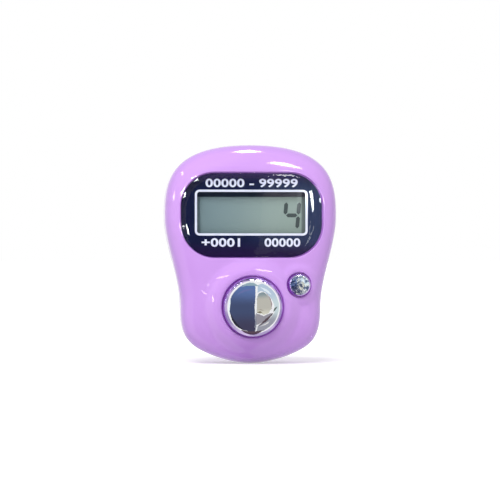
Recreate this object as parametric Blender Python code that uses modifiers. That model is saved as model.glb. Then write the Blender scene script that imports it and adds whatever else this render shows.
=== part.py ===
"""Digital finger counter: a palm-shaped plastic housing with a window, a display and two push
buttons, worn on a finger by a soft strap that runs through a saddle on its back.

Metres, +Z up, front towards -Y. The origin is the middle of the finger loop. Everything is
modelled face up under one empty: x to the right, y up the face from the chin's lowest point, and
z out of the face from the plane where the two covers meet. The empty then stands it upright.
"""

import math

import bmesh
import bpy
import numpy as np

# Outline of the body, seen from the front
BODY_HEIGHT = 0.0342
HEAD_WIDTH = 0.0269
HEAD_DROP = 0.0112
CROWN_REACH = 0.0129
SHOULDER_REACH = 0.0053
CHIN_WIDTH = 0.0220
CHIN_LEVEL = 0.0091
NECK_REACH = 0.0041
WAIST_REACH = 0.0041
JAW_REACH = 0.0032
JAW_INSET = 0.0025
JAW_LEVEL = 0.0025
JAW_EASE = 0.0025
JAW_SLOPE = math.radians(32.5)

# Covers
WALL = 0.0012
FRONT_DEPTH = 0.0076
FRONT_SIDE = 0.0034
DOME_POWER = 7.0
DOME_LEVEL = 0.0178
REAR_DEPTH = 0.0046
REAR_SIDE = 0.0016
REAR_EDGE_RUN = 0.0024
INNER_EDGE_RUN = 0.0008
PARTING_GAP = 0.0001
LIP_THICKNESS = 0.0006
LIP_HEIGHT = 0.0007
OUTLINE_STEPS = 12

# Clearances: loose, close, and between stacked layers
CLEARANCE = 0.0001
LAYER_GAP = 0.00003

# Window lens and the printed film behind it: the lens fills the head above the count button
LENS_SIDE_BORDER = 0.00245
LENS_TOP_BORDER = 0.00445
LENS_BUTTON_GAP = 0.00303
LENS_SIDE_FLAT = 0.00135
LENS_PROUD = 0.00045
LENS_BORDER = 0.0016
LENS_BORDER_RADIUS = 0.0034
LENS_RING_SHARES = (0.8, 0.5, 0.2)
LENS_SEAT = 0.0057
FILM_THICKNESS = 0.00012
VIEW_SIDE_BORDER = 0.00245
VIEW_TOP_BORDER = 0.00295
VIEW_LOW_BORDER = 0.00355
VIEW_CORNER = 0.0004
VIEW_MARGIN = 0.0006
FRAME_MARGIN = 0.0009
FRAME_THICKNESS = 0.0010

# Display cell
GLASS_SIDE = 0.00165
GLASS_RIM = 0.0009
GLASS_THICKNESS = 0.0007
GLASS_LEDGE = 0.0020
POLARIZER_THICKNESS = 0.0002
POLARIZER_MARGIN = 0.0004
RIB_GAP = 0.00015
RIB_THICKNESS = 0.0007
ZEBRA_END = 0.0009
ZEBRA_MARGIN = 0.0003
ZEBRA_EDGE = 0.00018
FOAM_END = 0.0022
FOAM_MARGIN = 0.0017

# Circuit board and what is soldered to it
BOARD_REAR = 0.0010
BOARD_THICKNESS = 0.0010
BOARD_INSET = 0.0016
BLOB_RADIUS = 0.0031
BLOB_HEIGHT = 0.0010
BLOB_CELL_GAP = 0.0026
CHIP_LENGTH = 0.0016
CHIP_WIDTH = 0.0008
CHIP_HEIGHT = 0.0005
CHIP_EDGE = 0.00008
CHIP_DROP = 0.0015
CHIP_X = 0.0062

# Push buttons: the count button is large and central, the reset button small and beside it
COUNT_LEVEL = 0.0090
COUNT_RADIUS = 0.00462
COUNT_MOUND = 0.0012
COUNT_MOUND_RUN = 0.0027
COUNT_RISE = 0.00025
COUNT_CAP_RADIUS = 0.0062
COUNT_EDGE = 0.00175
COUNT_SHELL = 0.00096
COUNT_HOLLOW_REACH = 0.0004
COUNT_HOLLOW_RISE = 0.0008
COUNT_TRAVEL = 0.0008
BUTTON_SPACING = 0.00046
RESET_BEARING = math.radians(24.9)
RESET_RADIUS = 0.00175
RESET_MOUND = 0.00035
RESET_MOUND_RUN = 0.0012
RESET_RISE = 0.00015
RESET_CAP_RADIUS = 0.0024
RESET_EDGE = 0.0007
RESET_TRAVEL = 0.0006
BUTTON_GAP = 0.00018
FLANGE_REACH = 0.0004
FLANGE_THICKNESS = 0.0007
FLANGE_TOP = 0.00555
COLLAR_WALL = 0.0009
MOUND_RIM = 0.00045
RIM_CHAMFER = 0.0003

# Rubber keys under the buttons
KEY_TOP = 0.0040
KEY_BASE = 0.0005
KEY_ROOF = 0.0008
KEY_WEB = 0.0004
COUNT_KEY_RADIUS = 0.0046
COUNT_KEY_HEAD = 0.0022
COUNT_PILL_RADIUS = 0.0014
COUNT_PLUNGER_RADIUS = 0.0018
RESET_KEY_RADIUS = 0.0024
RESET_KEY_HEAD = 0.0011
RESET_PILL_RADIUS = 0.0007
PILL_THICKNESS = 0.0003

# Button cell and its contacts
CELL_RADIUS = 0.0058
CELL_THICKNESS = 0.00305
CELL_CAP_RADIUS = 0.0047
CELL_CAP_HEIGHT = 0.00035
CELL_POST_GAP = 0.0012
CELL_FRONT = 0.00045
CELL_RING_GAP = 0.0002
CELL_RING_WALL = 0.0007
CELL_RING_FRONT = -0.0006
CONTACT_THICKNESS = 0.0002
CONTACT_WIDTH = 0.0030
CONTACT_REACH = 0.0038
CONTACT_LEG_GAP = 0.0012
CELL_RIB = 0.0008

# Screws: pan heads with a cross recess
CASE_SCREW_DROP = 0.0036
CASE_SCREW_SIDE = 0.0048
CASE_SCREW_LEVEL = 0.0054
CASE_SHANK_RADIUS = 0.0008
CASE_SHANK_LENGTH = 0.0062
CASE_HEAD_RADIUS = 0.0014
CASE_HEAD_HEIGHT = 0.0009
CASE_HEAD_DEPTH = 0.0015
CASE_POST_RADIUS = 0.0022
CASE_BOSS_RADIUS = 0.0016
CASE_BOSS_FRONT = 0.0004
BOARD_SCREW_LOW_SIDE = 0.0031
BOARD_SCREW_HIGH_SIDE = 0.00487
BOARD_SCREW_LOW_GAP = 0.00145
BOARD_SCREW_HIGH_GAP = 0.0022
BOARD_SHANK_RADIUS = 0.0006
BOARD_SHANK_LENGTH = 0.0030
BOARD_HEAD_RADIUS = 0.00095
BOARD_HEAD_HEIGHT = 0.0006
BOARD_BOSS_RADIUS = 0.00115
RECESS_WIDTH_SHARE = 0.24
RECESS_SPAN_SHARE = 1.3
RECESS_DEPTH_SHARE = 0.5

# Saddle on the back, the tunnel through it, and the strap
STRAP_LEVEL = 0.0175
SADDLE_WALL = 0.0014
SADDLE_ROOF = 0.0009
SADDLE_CORNER = 0.0020
SADDLE_EDGE = 0.0005
TUNNEL_FLOOR = 0.0005
TUNNEL_END_GAP = 0.0004
STRAP_WIDTH = 0.0080
STRAP_THICKNESS = 0.0012
STRAP_EDGE = 0.0003
TUNNEL_GAP = 0.0002
FINGER_WIDTH = 0.0194
FINGER_DEPTH = 0.0179
BEND_RADIUS = 0.0019
STRAP_LAYER_GAP = 0.00025
TAIL_ANGLE = math.radians(-48)
TUCK_ANGLE = math.radians(25)
STEP_START = math.radians(40)
STEP_END = math.radians(85)
STUD_RADIUS = 0.0009
STUD_HEAD_RADIUS = 0.0015
STUD_HEAD_HEIGHT = 0.0008
STRAP_HOLE_RADIUS = 0.0011
STRAP_HOLE_PITCH = 0.0040
STRAP_HOLES_BEYOND = 1
STRAP_HOLES_BEFORE = 3

# Derived places on the face
HEAD_LEVEL = BODY_HEIGHT - HEAD_DROP
LENS_LOW = COUNT_LEVEL + COUNT_RADIUS + LENS_BUTTON_GAP
LENS_WIDTH = HEAD_WIDTH - 2 * LENS_SIDE_BORDER
LENS_HEIGHT = BODY_HEIGHT - LENS_TOP_BORDER - LENS_LOW
LENS_LEVEL = LENS_LOW + LENS_HEIGHT / 2
LENS_CORNER = LENS_HEIGHT / 2 - LENS_SIDE_FLAT
VIEW_WIDTH = LENS_WIDTH - 2 * VIEW_SIDE_BORDER
VIEW_HEIGHT = LENS_HEIGHT - VIEW_TOP_BORDER - VIEW_LOW_BORDER
VIEW_LEVEL = LENS_LOW + VIEW_LOW_BORDER + VIEW_HEIGHT / 2
GLASS_WIDTH = VIEW_WIDTH + 2 * GLASS_SIDE
GLASS_HEIGHT = VIEW_HEIGHT + 2 * GLASS_RIM
RESET_DISTANCE = COUNT_RADIUS + RESET_RADIUS + 2 * (BUTTON_GAP + FLANGE_REACH) + BUTTON_SPACING
RESET_X = RESET_DISTANCE * math.cos(RESET_BEARING)
RESET_LEVEL = COUNT_LEVEL + RESET_DISTANCE * math.sin(RESET_BEARING)
TOP_SCREW_LEVEL = BODY_HEIGHT - CASE_SCREW_DROP
CELL_RING_RADIUS = CELL_RADIUS + CELL_RING_GAP
CELL_ROOM = CELL_RING_RADIUS + CELL_RING_WALL
CELL_LEVEL = TOP_SCREW_LEVEL - CASE_POST_RADIUS - CELL_POST_GAP - CELL_ROOM
BLOB_LEVEL = CELL_LEVEL - CELL_RADIUS - BLOB_CELL_GAP - BLOB_RADIUS
CHIP_LEVEL = CELL_LEVEL - CELL_RADIUS - CHIP_DROP

# Derived places on the depth axis
BOARD_FRONT = BOARD_REAR + BOARD_THICKNESS
FILM_REAR = LENS_SEAT + LAYER_GAP
LENS_REAR = FILM_REAR + FILM_THICKNESS + LAYER_GAP
FRAME_REAR = LENS_SEAT - FRAME_THICKNESS
FRONT_POLARIZER_REAR = FRAME_REAR - LAYER_GAP - POLARIZER_THICKNESS
FRONT_GLASS_REAR = FRONT_POLARIZER_REAR - LAYER_GAP - GLASS_THICKNESS
REAR_GLASS_REAR = FRONT_GLASS_REAR - LAYER_GAP - GLASS_THICKNESS
REAR_POLARIZER_REAR = REAR_GLASS_REAR - LAYER_GAP - POLARIZER_THICKNESS
COLLAR_REAR = FLANGE_TOP + CLEARANCE
CELL_REAR = CELL_FRONT - CELL_THICKNESS
REAR_FLOOR = -(REAR_DEPTH - WALL)
SCREW_SEAT = -(REAR_DEPTH - CASE_HEAD_DEPTH)
TUNNEL_HEIGHT = STRAP_THICKNESS + 2 * TUNNEL_GAP
STRAP_DEPTH = REAR_DEPTH + TUNNEL_FLOOR + TUNNEL_HEIGHT / 2
SADDLE_REAR = REAR_DEPTH + TUNNEL_FLOOR + TUNNEL_HEIGHT + SADDLE_ROOF
SADDLE_HEIGHT = STRAP_WIDTH + 2 * (TUNNEL_GAP + SADDLE_WALL)
LOOP_RADIUS = (FINGER_WIDTH + STRAP_THICKNESS) / 2
SADDLE_WIDTH = 2 * (LOOP_RADIUS - BEND_RADIUS - TUNNEL_END_GAP)
LAYER_STEP = STRAP_THICKNESS + STRAP_LAYER_GAP
LOOP_CENTRE = SADDLE_REAR + FINGER_DEPTH - FINGER_WIDTH / 2
ORIGIN_DEPTH = SADDLE_REAR + FINGER_DEPTH / 2

# Finishes: colour, roughness, metallic
FINISHES = {
    "lilac_plastic": ((0.66, 0.38, 0.88), 0.18, 0.0),
    "lilac_rubber": ((0.60, 0.34, 0.80), 0.50, 0.0),
    "clear_plastic": ((0.85, 0.88, 0.90), 0.05, 0.0),
    "black_print": ((0.010, 0.012, 0.030), 0.35, 0.0),
    "display_film": ((0.24, 0.34, 0.28), 0.40, 0.0),
    "glass": ((0.80, 0.88, 0.85), 0.05, 0.0),
    "chrome": ((0.80, 0.81, 0.83), 0.06, 1.0),
    "circuit_board": ((0.03, 0.22, 0.09), 0.45, 0.0),
    "black_resin": ((0.02, 0.02, 0.02), 0.40, 0.0),
    "grey_rubber": ((0.42, 0.43, 0.44), 0.60, 0.0),
    "black_rubber": ((0.03, 0.03, 0.03), 0.60, 0.0),
    "white_foam": ((0.75, 0.75, 0.72), 0.85, 0.0),
    "ceramic": ((0.55, 0.45, 0.32), 0.45, 0.0),
    "steel": ((0.56, 0.57, 0.58), 0.30, 1.0),
}


def start_scene():
    """Empty the file and make the collections and the empty that stands the counter upright."""
    for old in list(bpy.data.objects):
        bpy.data.objects.remove(old)
    parts = bpy.data.collections.new("digital_finger_counter")
    tools = bpy.data.collections.new("cutters")
    for group in (parts, tools):
        bpy.context.scene.collection.children.link(group)
    frame = bpy.data.objects.new("standing_frame", None)
    frame.location = (0, -ORIGIN_DEPTH, -STRAP_LEVEL)
    frame.rotation_euler = (math.pi / 2, 0, 0)
    parts.objects.link(frame)
    return parts, tools, frame


PARTS, TOOLS, FRAME = start_scene()


def finish(name):
    """The material of that name, made the first time it is asked for."""
    found = bpy.data.materials.get(name)
    if found:
        return found
    colour, roughness, metallic = FINISHES[name]
    made = bpy.data.materials.new(name)
    made.use_nodes = True
    shader = made.node_tree.nodes["Principled BSDF"]
    shader.inputs["Base Color"].default_value = (*colour, 1)
    shader.inputs["Roughness"].default_value = roughness
    shader.inputs["Metallic"].default_value = metallic
    return made


def place(name, mesh, at=(0, 0, 0), material=None):
    """Put a mesh under the standing frame: a part if it has a material, otherwise a cutter."""
    obj = bpy.data.objects.new(name, mesh)
    obj.parent = FRAME
    obj.location = at
    if material:
        PARTS.objects.link(obj)
        mesh.materials.append(finish(material))
    else:
        TOOLS.objects.link(obj)
        obj.hide_render = True
        obj.display_type = "WIRE"
    return obj


def smooth(obj, degrees=35):
    """Shade round pieces smooth, and keep their sharp edges."""
    obj.data.shade_smooth()
    obj.data.set_sharp_from_angle(angle=math.radians(degrees))
    return obj


def boolean(obj, operation, *tools):
    """Cut or join each tool, and return the object."""
    for tool in tools:
        step = obj.modifiers.new(tool.name, "BOOLEAN")
        step.operation = operation
        step.solver = "EXACT"
        step.object = tool
    return obj


def cut(obj, *tools):
    """Take each tool out of the object."""
    return boolean(obj, "DIFFERENCE", *tools)


def join(obj, *tools):
    """Add each tool to the object."""
    return boolean(obj, "UNION", *tools)


def loft(name, rings, **where):
    """A closed solid through rings of equally many points, its two end rings filled."""
    mesh = bmesh.new()
    loops = [[mesh.verts.new(point) for point in ring] for ring in rings]
    count = len(loops[0])
    for lower, upper in zip(loops, loops[1:]):
        for i in range(count):
            j = (i + 1) % count
            mesh.faces.new((lower[i], lower[j], upper[j], upper[i]))
    mesh.faces.new(reversed(loops[0]))
    mesh.faces.new(loops[-1])
    bmesh.ops.recalc_face_normals(mesh, faces=mesh.faces)
    data = bpy.data.meshes.new(name)
    mesh.to_mesh(data)
    mesh.free()
    return place(name, data, **where)


def prism(name, outlines, low, high, material=None):
    """A flat plate between two depths, from one outline and any holes inside it."""
    curve = bpy.data.curves.new(name, "CURVE")
    curve.dimensions = "2D"
    curve.fill_mode = "BOTH"
    curve.extrude = (high - low) / 2
    for outline in outlines:
        spline = curve.splines.new("POLY")
        spline.points.add(len(outline) - 1)
        spline.use_cyclic_u = True
        for point, (x, y) in zip(spline.points, outline):
            point.co = (x, y, 0, 1)
    drawn = bpy.data.objects.new(name + "_drawn", curve)
    TOOLS.objects.link(drawn)
    bpy.context.view_layer.update()
    graph = bpy.context.evaluated_depsgraph_get()
    data = bpy.data.meshes.new_from_object(drawn.evaluated_get(graph))
    bpy.data.objects.remove(drawn)
    mesh = bmesh.new()
    mesh.from_mesh(data)
    bmesh.ops.remove_doubles(mesh, verts=mesh.verts, dist=1e-6)
    bmesh.ops.recalc_face_normals(mesh, faces=mesh.faces)
    mesh.to_mesh(data)
    mesh.free()
    data.materials.clear()
    data.name = name
    return place(name, data, at=(0, 0, (low + high) / 2), material=material)


def block(name, size, centre, **where):
    """A box from a cube primitive."""
    mesh = bmesh.new()
    bmesh.ops.create_cube(mesh, size=1)
    bmesh.ops.scale(mesh, vec=size, verts=mesh.verts)
    data = bpy.data.meshes.new(name)
    mesh.to_mesh(data)
    mesh.free()
    return place(name, data, at=centre, **where)


def post(name, radius, low, high, at=(0, 0), segments=20, **where):
    """A round bar along the depth axis, from a cylinder primitive."""
    mesh = bmesh.new()
    bmesh.ops.create_cone(
        mesh, cap_ends=True, segments=segments, radius1=radius, radius2=radius, depth=high - low
    )
    data = bpy.data.meshes.new(name)
    mesh.to_mesh(data)
    mesh.free()
    return place(name, data, at=(*at, (low + high) / 2), **where)


def turned(name, profile, steps=32, ring=False, **where):
    """A turned solid: a profile of (radius, height) down its outer side, with a Screw modifier."""
    data = bpy.data.meshes.new(name)
    edges = [(i, i + 1) for i in range(len(profile) - 1)]
    if ring:
        edges.append((len(profile) - 1, 0))
    data.from_pydata([(radius, 0, height) for radius, height in profile], edges, [])
    obj = place(name, data, **where)
    spin = obj.modifiers.new("turn", "SCREW")
    spin.axis = "Z"
    spin.angle = math.tau
    spin.steps = steps
    spin.render_steps = steps
    spin.use_merge_vertices = True
    spin.merge_threshold = 1e-6
    return obj


def bevel(obj, width, segments=2, degrees=40):
    """Round the sharp edges of an object."""
    edge = obj.modifiers.new("edges", "BEVEL")
    edge.width = width
    edge.segments = segments
    edge.limit_method = "ANGLE"
    edge.angle_limit = math.radians(degrees)
    return obj


def arc(centre, radius, start, stop, steps):
    """Points on a circle, between two angles from the first axis."""
    angles = (start + (stop - start) * i / steps for i in range(steps + 1))
    return [(centre[0] + radius * math.cos(a), centre[1] + radius * math.sin(a)) for a in angles]


def rounded_rectangle(width, height, radius, steps=6, centre=(0, 0)):
    """Points round a rectangle whose corners are arcs."""
    x, y = width / 2 - radius, height / 2 - radius
    corners = ((x, y), (-x, y), (-x, -y), (x, -y))
    points = []
    for quarter, (cx, cy) in enumerate(corners):
        middle = (centre[0] + cx, centre[1] + cy)
        start = quarter * math.pi / 2
        points += arc(middle, radius, start, start + math.pi / 2, steps)
    return points


def bezier(start, leave, arrive, stop, steps):
    """Points along a cubic curve, without its last one."""
    points = []
    for i in range(steps):
        t = i / steps
        weights = ((1 - t) ** 3, 3 * (1 - t) ** 2 * t, 3 * (1 - t) * t**2, t**3)
        points.append(sum(w * np.array(p) for w, p in zip(weights, (start, leave, arrive, stop))))
    return points


def body_outline(inset=0.0):
    """The body's silhouette from the crown clockwise to the chin and back, moved in by inset."""
    crown = (0, BODY_HEIGHT)
    temple = (HEAD_WIDTH / 2, HEAD_LEVEL)
    cheek = (CHIN_WIDTH / 2, CHIN_LEVEL)
    jaw = np.array((CHIN_WIDTH / 2 - JAW_INSET, JAW_LEVEL))
    along = np.array((math.cos(JAW_SLOPE), math.sin(JAW_SLOPE)))
    side = bezier(
        crown, (CROWN_REACH, crown[1]), (temple[0], temple[1] + SHOULDER_REACH), temple, OUTLINE_STEPS
    )
    side += bezier(
        temple,
        (temple[0], temple[1] - NECK_REACH),
        (cheek[0], cheek[1] + WAIST_REACH),
        cheek,
        OUTLINE_STEPS // 2,
    )
    side += bezier(
        cheek, (cheek[0], cheek[1] - JAW_REACH), jaw + along * JAW_EASE, jaw, OUTLINE_STEPS // 2
    )
    side += bezier(jaw, jaw - along * JAW_EASE, (JAW_EASE, 0), (0, 0), OUTLINE_STEPS // 2)
    side.append(np.array((0.0, 0.0)))
    mirrored = [np.array((-p[0], p[1])) for p in side[-2:0:-1]]
    points = np.array(side + mirrored)
    step = np.roll(points, -1, axis=0) - np.roll(points, 1, axis=0)
    normal = np.stack((-step[:, 1], step[:, 0]), axis=1)
    normal /= np.linalg.norm(normal, axis=1)[:, None]
    return points - normal * inset


OUTLINE = body_outline()
CENTRE = np.array((0.0, DOME_LEVEL))
SPOKES = OUTLINE - CENTRE
SPOKE_ANGLES = np.arctan2(SPOKES[:, 0], SPOKES[:, 1])
SPOKE_ORDER = np.argsort(SPOKE_ANGLES)


def half_width(level):
    """Half the body's width at a level between chin and crown."""
    side = OUTLINE[: len(OUTLINE) // 2 + 1][::-1]
    return float(np.interp(level, side[:, 1], side[:, 0]))


def board_screw_places():
    """Two screws under the display and two over it, each in from the side of the body."""
    low = VIEW_LEVEL - GLASS_HEIGHT / 2 - GLASS_LEDGE - BOARD_SCREW_LOW_GAP
    high = VIEW_LEVEL + GLASS_HEIGHT / 2 + BOARD_SCREW_HIGH_GAP
    low_x = half_width(low) - BOARD_SCREW_LOW_SIDE
    high_x = half_width(high) - BOARD_SCREW_HIGH_SIDE
    return ((-low_x, low), (low_x, low), (-high_x, high), (high_x, high))


CHIN_SCREW_X = CHIN_WIDTH / 2 - CASE_SCREW_SIDE
CASE_SCREW_PLACES = (
    (0, TOP_SCREW_LEVEL), (-CHIN_SCREW_X, CASE_SCREW_LEVEL), (CHIN_SCREW_X, CASE_SCREW_LEVEL)
)
BOARD_SCREW_PLACES = board_screw_places()


def crown_height(share):
    """Height of the front cover at a share of the way from the dome's middle to the outline."""
    rest = max(0.0, 1 - min(1.0, share) ** DOME_POWER)
    return FRONT_SIDE + (FRONT_DEPTH - FRONT_SIDE) * math.sqrt(rest)


def share_at(x, y):
    """How far a point of the face lies from the dome's middle, as a share of the outline."""
    dx, dy = x - CENTRE[0], y - CENTRE[1]
    reach = np.interp(
        math.atan2(dx, dy),
        SPOKE_ANGLES[SPOKE_ORDER],
        np.linalg.norm(SPOKES, axis=1)[SPOKE_ORDER],
        period=math.tau,
    )
    return math.hypot(dx, dy) / float(reach)


def mound(distance, rim, run, height):
    """Height that a button's mound adds, full out to its rim and easing to none over its run."""
    t = min(1.0, max(0.0, (distance - rim) / run))
    return height * (1 + math.cos(math.pi * t)) / 2


def face_height(x, y, share):
    """Height of the front cover's outside, with the mounds round both buttons."""
    count = mound(
        math.hypot(x, y - COUNT_LEVEL),
        COUNT_RADIUS + BUTTON_GAP + MOUND_RIM,
        COUNT_MOUND_RUN,
        COUNT_MOUND,
    )
    reset = mound(
        math.hypot(x - RESET_X, y - RESET_LEVEL),
        RESET_RADIUS + BUTTON_GAP + MOUND_RIM,
        RESET_MOUND_RUN,
        RESET_MOUND,
    )
    return crown_height(share) + max(count, reset)


def shoulder_shares(steps, degrees):
    """Ring positions from the outline inwards, closest together where the shoulder is steep."""
    angles = [math.radians(degrees) * i / steps for i in range(steps + 1)]
    return [math.cos(a) ** (2 / DOME_POWER) for a in angles]


def ring_at(outline, share, height):
    """One ring of a dome: the outline drawn in towards the middle, at a height for each point."""
    points = CENTRE + (outline - CENTRE) * share
    return [(x, y, height(x, y)) for x, y in points]


def front_dome():
    """The outside of the front cover: rings that pass from the outline to the count button."""
    rings = [ring_at(OUTLINE, 1, lambda x, y: PARTING_GAP)]
    shares = shoulder_shares(4, 50)
    for share in shares:
        rings.append(ring_at(OUTLINE, share, lambda x, y, s=share: face_height(x, y, s)))
    middle = np.array((0, COUNT_LEVEL))
    spokes = CENTRE + (OUTLINE - CENTRE) * shares[-1] - middle
    reach = np.linalg.norm(spokes, axis=1)[:, None]
    rim = COUNT_RADIUS + BUTTON_GAP + MOUND_RIM
    steps = 12
    crowding = 1.8
    radii = [rim + (reach - rim) * (i / steps) ** crowding for i in reversed(range(steps))]
    for radius in radii + [COUNT_RADIUS / 2]:
        points = middle + spokes / reach * radius
        rings.append([(x, y, face_height(x, y, share_at(x, y))) for x, y in points])
    return loft("front_cover", rings, material="lilac_plastic")


def front_hollow():
    """The room inside the front cover, down past the plane where the covers meet."""
    inner = body_outline(WALL)
    rings = [ring_at(inner, 1, lambda x, y: -WALL)]
    rings.append(ring_at(inner, 1, lambda x, y: crown_height(1)))
    shares = shoulder_shares(4, 75)
    for share in shares[1:] + [shares[-1] * 2 / 3, shares[-1] / 3]:
        rings.append(ring_at(inner, share, lambda x, y, s=share: crown_height(s) - WALL))
    return loft("front_hollow", rings)


def lens_outline(grow=0.0):
    """The window's outline, made larger all round by grow."""
    return rounded_rectangle(
        LENS_WIDTH + 2 * grow, LENS_HEIGHT + 2 * grow, LENS_CORNER + grow, centre=(0, LENS_LEVEL)
    )


def view_outline(grow=0.0):
    """The clear opening in front of the display, made larger all round by grow."""
    return rounded_rectangle(
        VIEW_WIDTH + 2 * grow,
        VIEW_HEIGHT + 2 * grow,
        VIEW_CORNER + grow / 2,
        steps=2,
        centre=(0, VIEW_LEVEL),
    )


def button_bore(name, at, radius, mound_height):
    """A button's bore, flared where it meets the top of its mound."""
    share = share_at(*at)
    rim = crown_height(share) + mound_height
    flare = radius + RIM_CHAMFER
    above = rim + 2 * WALL
    profile = [
        (0, above),
        (flare + above - rim, above),
        (flare, rim),
        (radius, rim - RIM_CHAMFER),
        (radius, BOARD_FRONT),
        (0, BOARD_FRONT),
    ]
    return turned(name, profile, steps=36, at=(*at, 0))


def button_collar(name, at, radius):
    """The thick ring of the cover round a button's bore."""
    return post(name, radius + BUTTON_GAP + COLLAR_WALL, COLLAR_REAR, FRONT_DEPTH + WALL, at, 28)


def flange_room(name, at, radius):
    """Room under a collar for a button's flange and its travel."""
    reach = radius + BUTTON_GAP + FLANGE_REACH + 2 * CLEARANCE
    return post(name, reach, BOARD_FRONT, COLLAR_REAR, at, 32)


def make_front_cover():
    """Front cover: a domed shell with the window seat, button collars, display ribs and bosses."""
    cover = front_dome()
    hollow = front_hollow()
    top = FRONT_DEPTH + WALL
    glass_middle = VIEW_LEVEL - GLASS_LEDGE / 2
    glass = (GLASS_WIDTH + 2 * RIB_GAP, GLASS_HEIGHT + GLASS_LEDGE + 2 * RIB_GAP)
    rib = rounded_rectangle(
        glass[0] + 2 * RIB_THICKNESS, glass[1] + 2 * RIB_THICKNESS, RIB_THICKNESS / 2, 2, (0, glass_middle)
    )
    recess = rounded_rectangle(*glass, RIB_GAP, 1, (0, glass_middle))
    kept = [
        prism("window_frame", [lens_outline(FRAME_MARGIN)], FRAME_REAR, top),
        prism("display_ribs", [rib, recess], BOARD_FRONT + 2 * CLEARANCE, FRAME_REAR + CLEARANCE),
        button_collar("count_collar", (0, COUNT_LEVEL), COUNT_RADIUS),
        button_collar("reset_collar", (RESET_X, RESET_LEVEL), RESET_RADIUS),
    ]
    for number, place_at in enumerate(CASE_SCREW_PLACES, 1):
        kept.append(post(f"case_boss_{number}", CASE_BOSS_RADIUS, CASE_BOSS_FRONT, top, place_at))
    for number, place_at in enumerate(BOARD_SCREW_PLACES, 1):
        low = BOARD_FRONT + LAYER_GAP
        kept.append(post(f"board_boss_{number}", BOARD_BOSS_RADIUS, low, top, place_at, 16))
    cut(hollow, *kept)
    cut(cover, hollow)
    holes = [
        prism("lens_pocket", [lens_outline(CLEARANCE)], LENS_SEAT, top),
        prism("view_opening", [view_outline(VIEW_MARGIN)], FRAME_REAR - WALL, LENS_SEAT + WALL),
        button_bore("count_bore", (0, COUNT_LEVEL), COUNT_RADIUS + BUTTON_GAP, COUNT_MOUND),
        button_bore("reset_bore", (RESET_X, RESET_LEVEL), RESET_RADIUS + BUTTON_GAP, RESET_MOUND),
        flange_room("count_flange_room", (0, COUNT_LEVEL), COUNT_RADIUS),
        flange_room("reset_flange_room", (RESET_X, RESET_LEVEL), RESET_RADIUS),
    ]
    tip = SCREW_SEAT + CASE_SHANK_LENGTH + CLEARANCE
    for number, place_at in enumerate(CASE_SCREW_PLACES, 1):
        holes.append(post(f"case_pilot_{number}", CASE_SHANK_RADIUS + CLEARANCE, 0, tip, place_at, 16))
    tip = BOARD_REAR + BOARD_SHANK_LENGTH + CLEARANCE
    for number, place_at in enumerate(BOARD_SCREW_PLACES, 1):
        holes.append(post(f"board_pilot_{number}", BOARD_SHANK_RADIUS + CLEARANCE, 0, tip, place_at, 12))
    cut(cover, *holes)
    return smooth(cover)


def rear_tray():
    """The rear cover's tray with its lip, as one section carried round the outline."""
    section = []
    for angle in reversed(quarter(5)):
        z = -REAR_SIDE - (REAR_DEPTH - REAR_SIDE) * math.sin(angle)
        section.append((REAR_EDGE_RUN * (1 - math.cos(angle)), z))
    lip_outer = WALL + CLEARANCE
    lip_inner = lip_outer + LIP_THICKNESS
    section += [(0, -PARTING_GAP), (lip_outer, -PARTING_GAP)]
    section += [(lip_outer, LIP_HEIGHT), (lip_inner, LIP_HEIGHT)]
    side = REAR_SIDE - REAR_FLOOR - REAR_DEPTH
    for angle in quarter(2):
        z = -side - (-REAR_FLOOR - side) * math.sin(angle)
        section.append((lip_inner + INNER_EDGE_RUN * (1 - math.cos(angle)), z))
    rings = [[(x, y, z) for x, y in body_outline(inset)] for inset, z in section]
    return loft("rear_cover", rings, material="lilac_plastic")


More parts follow.
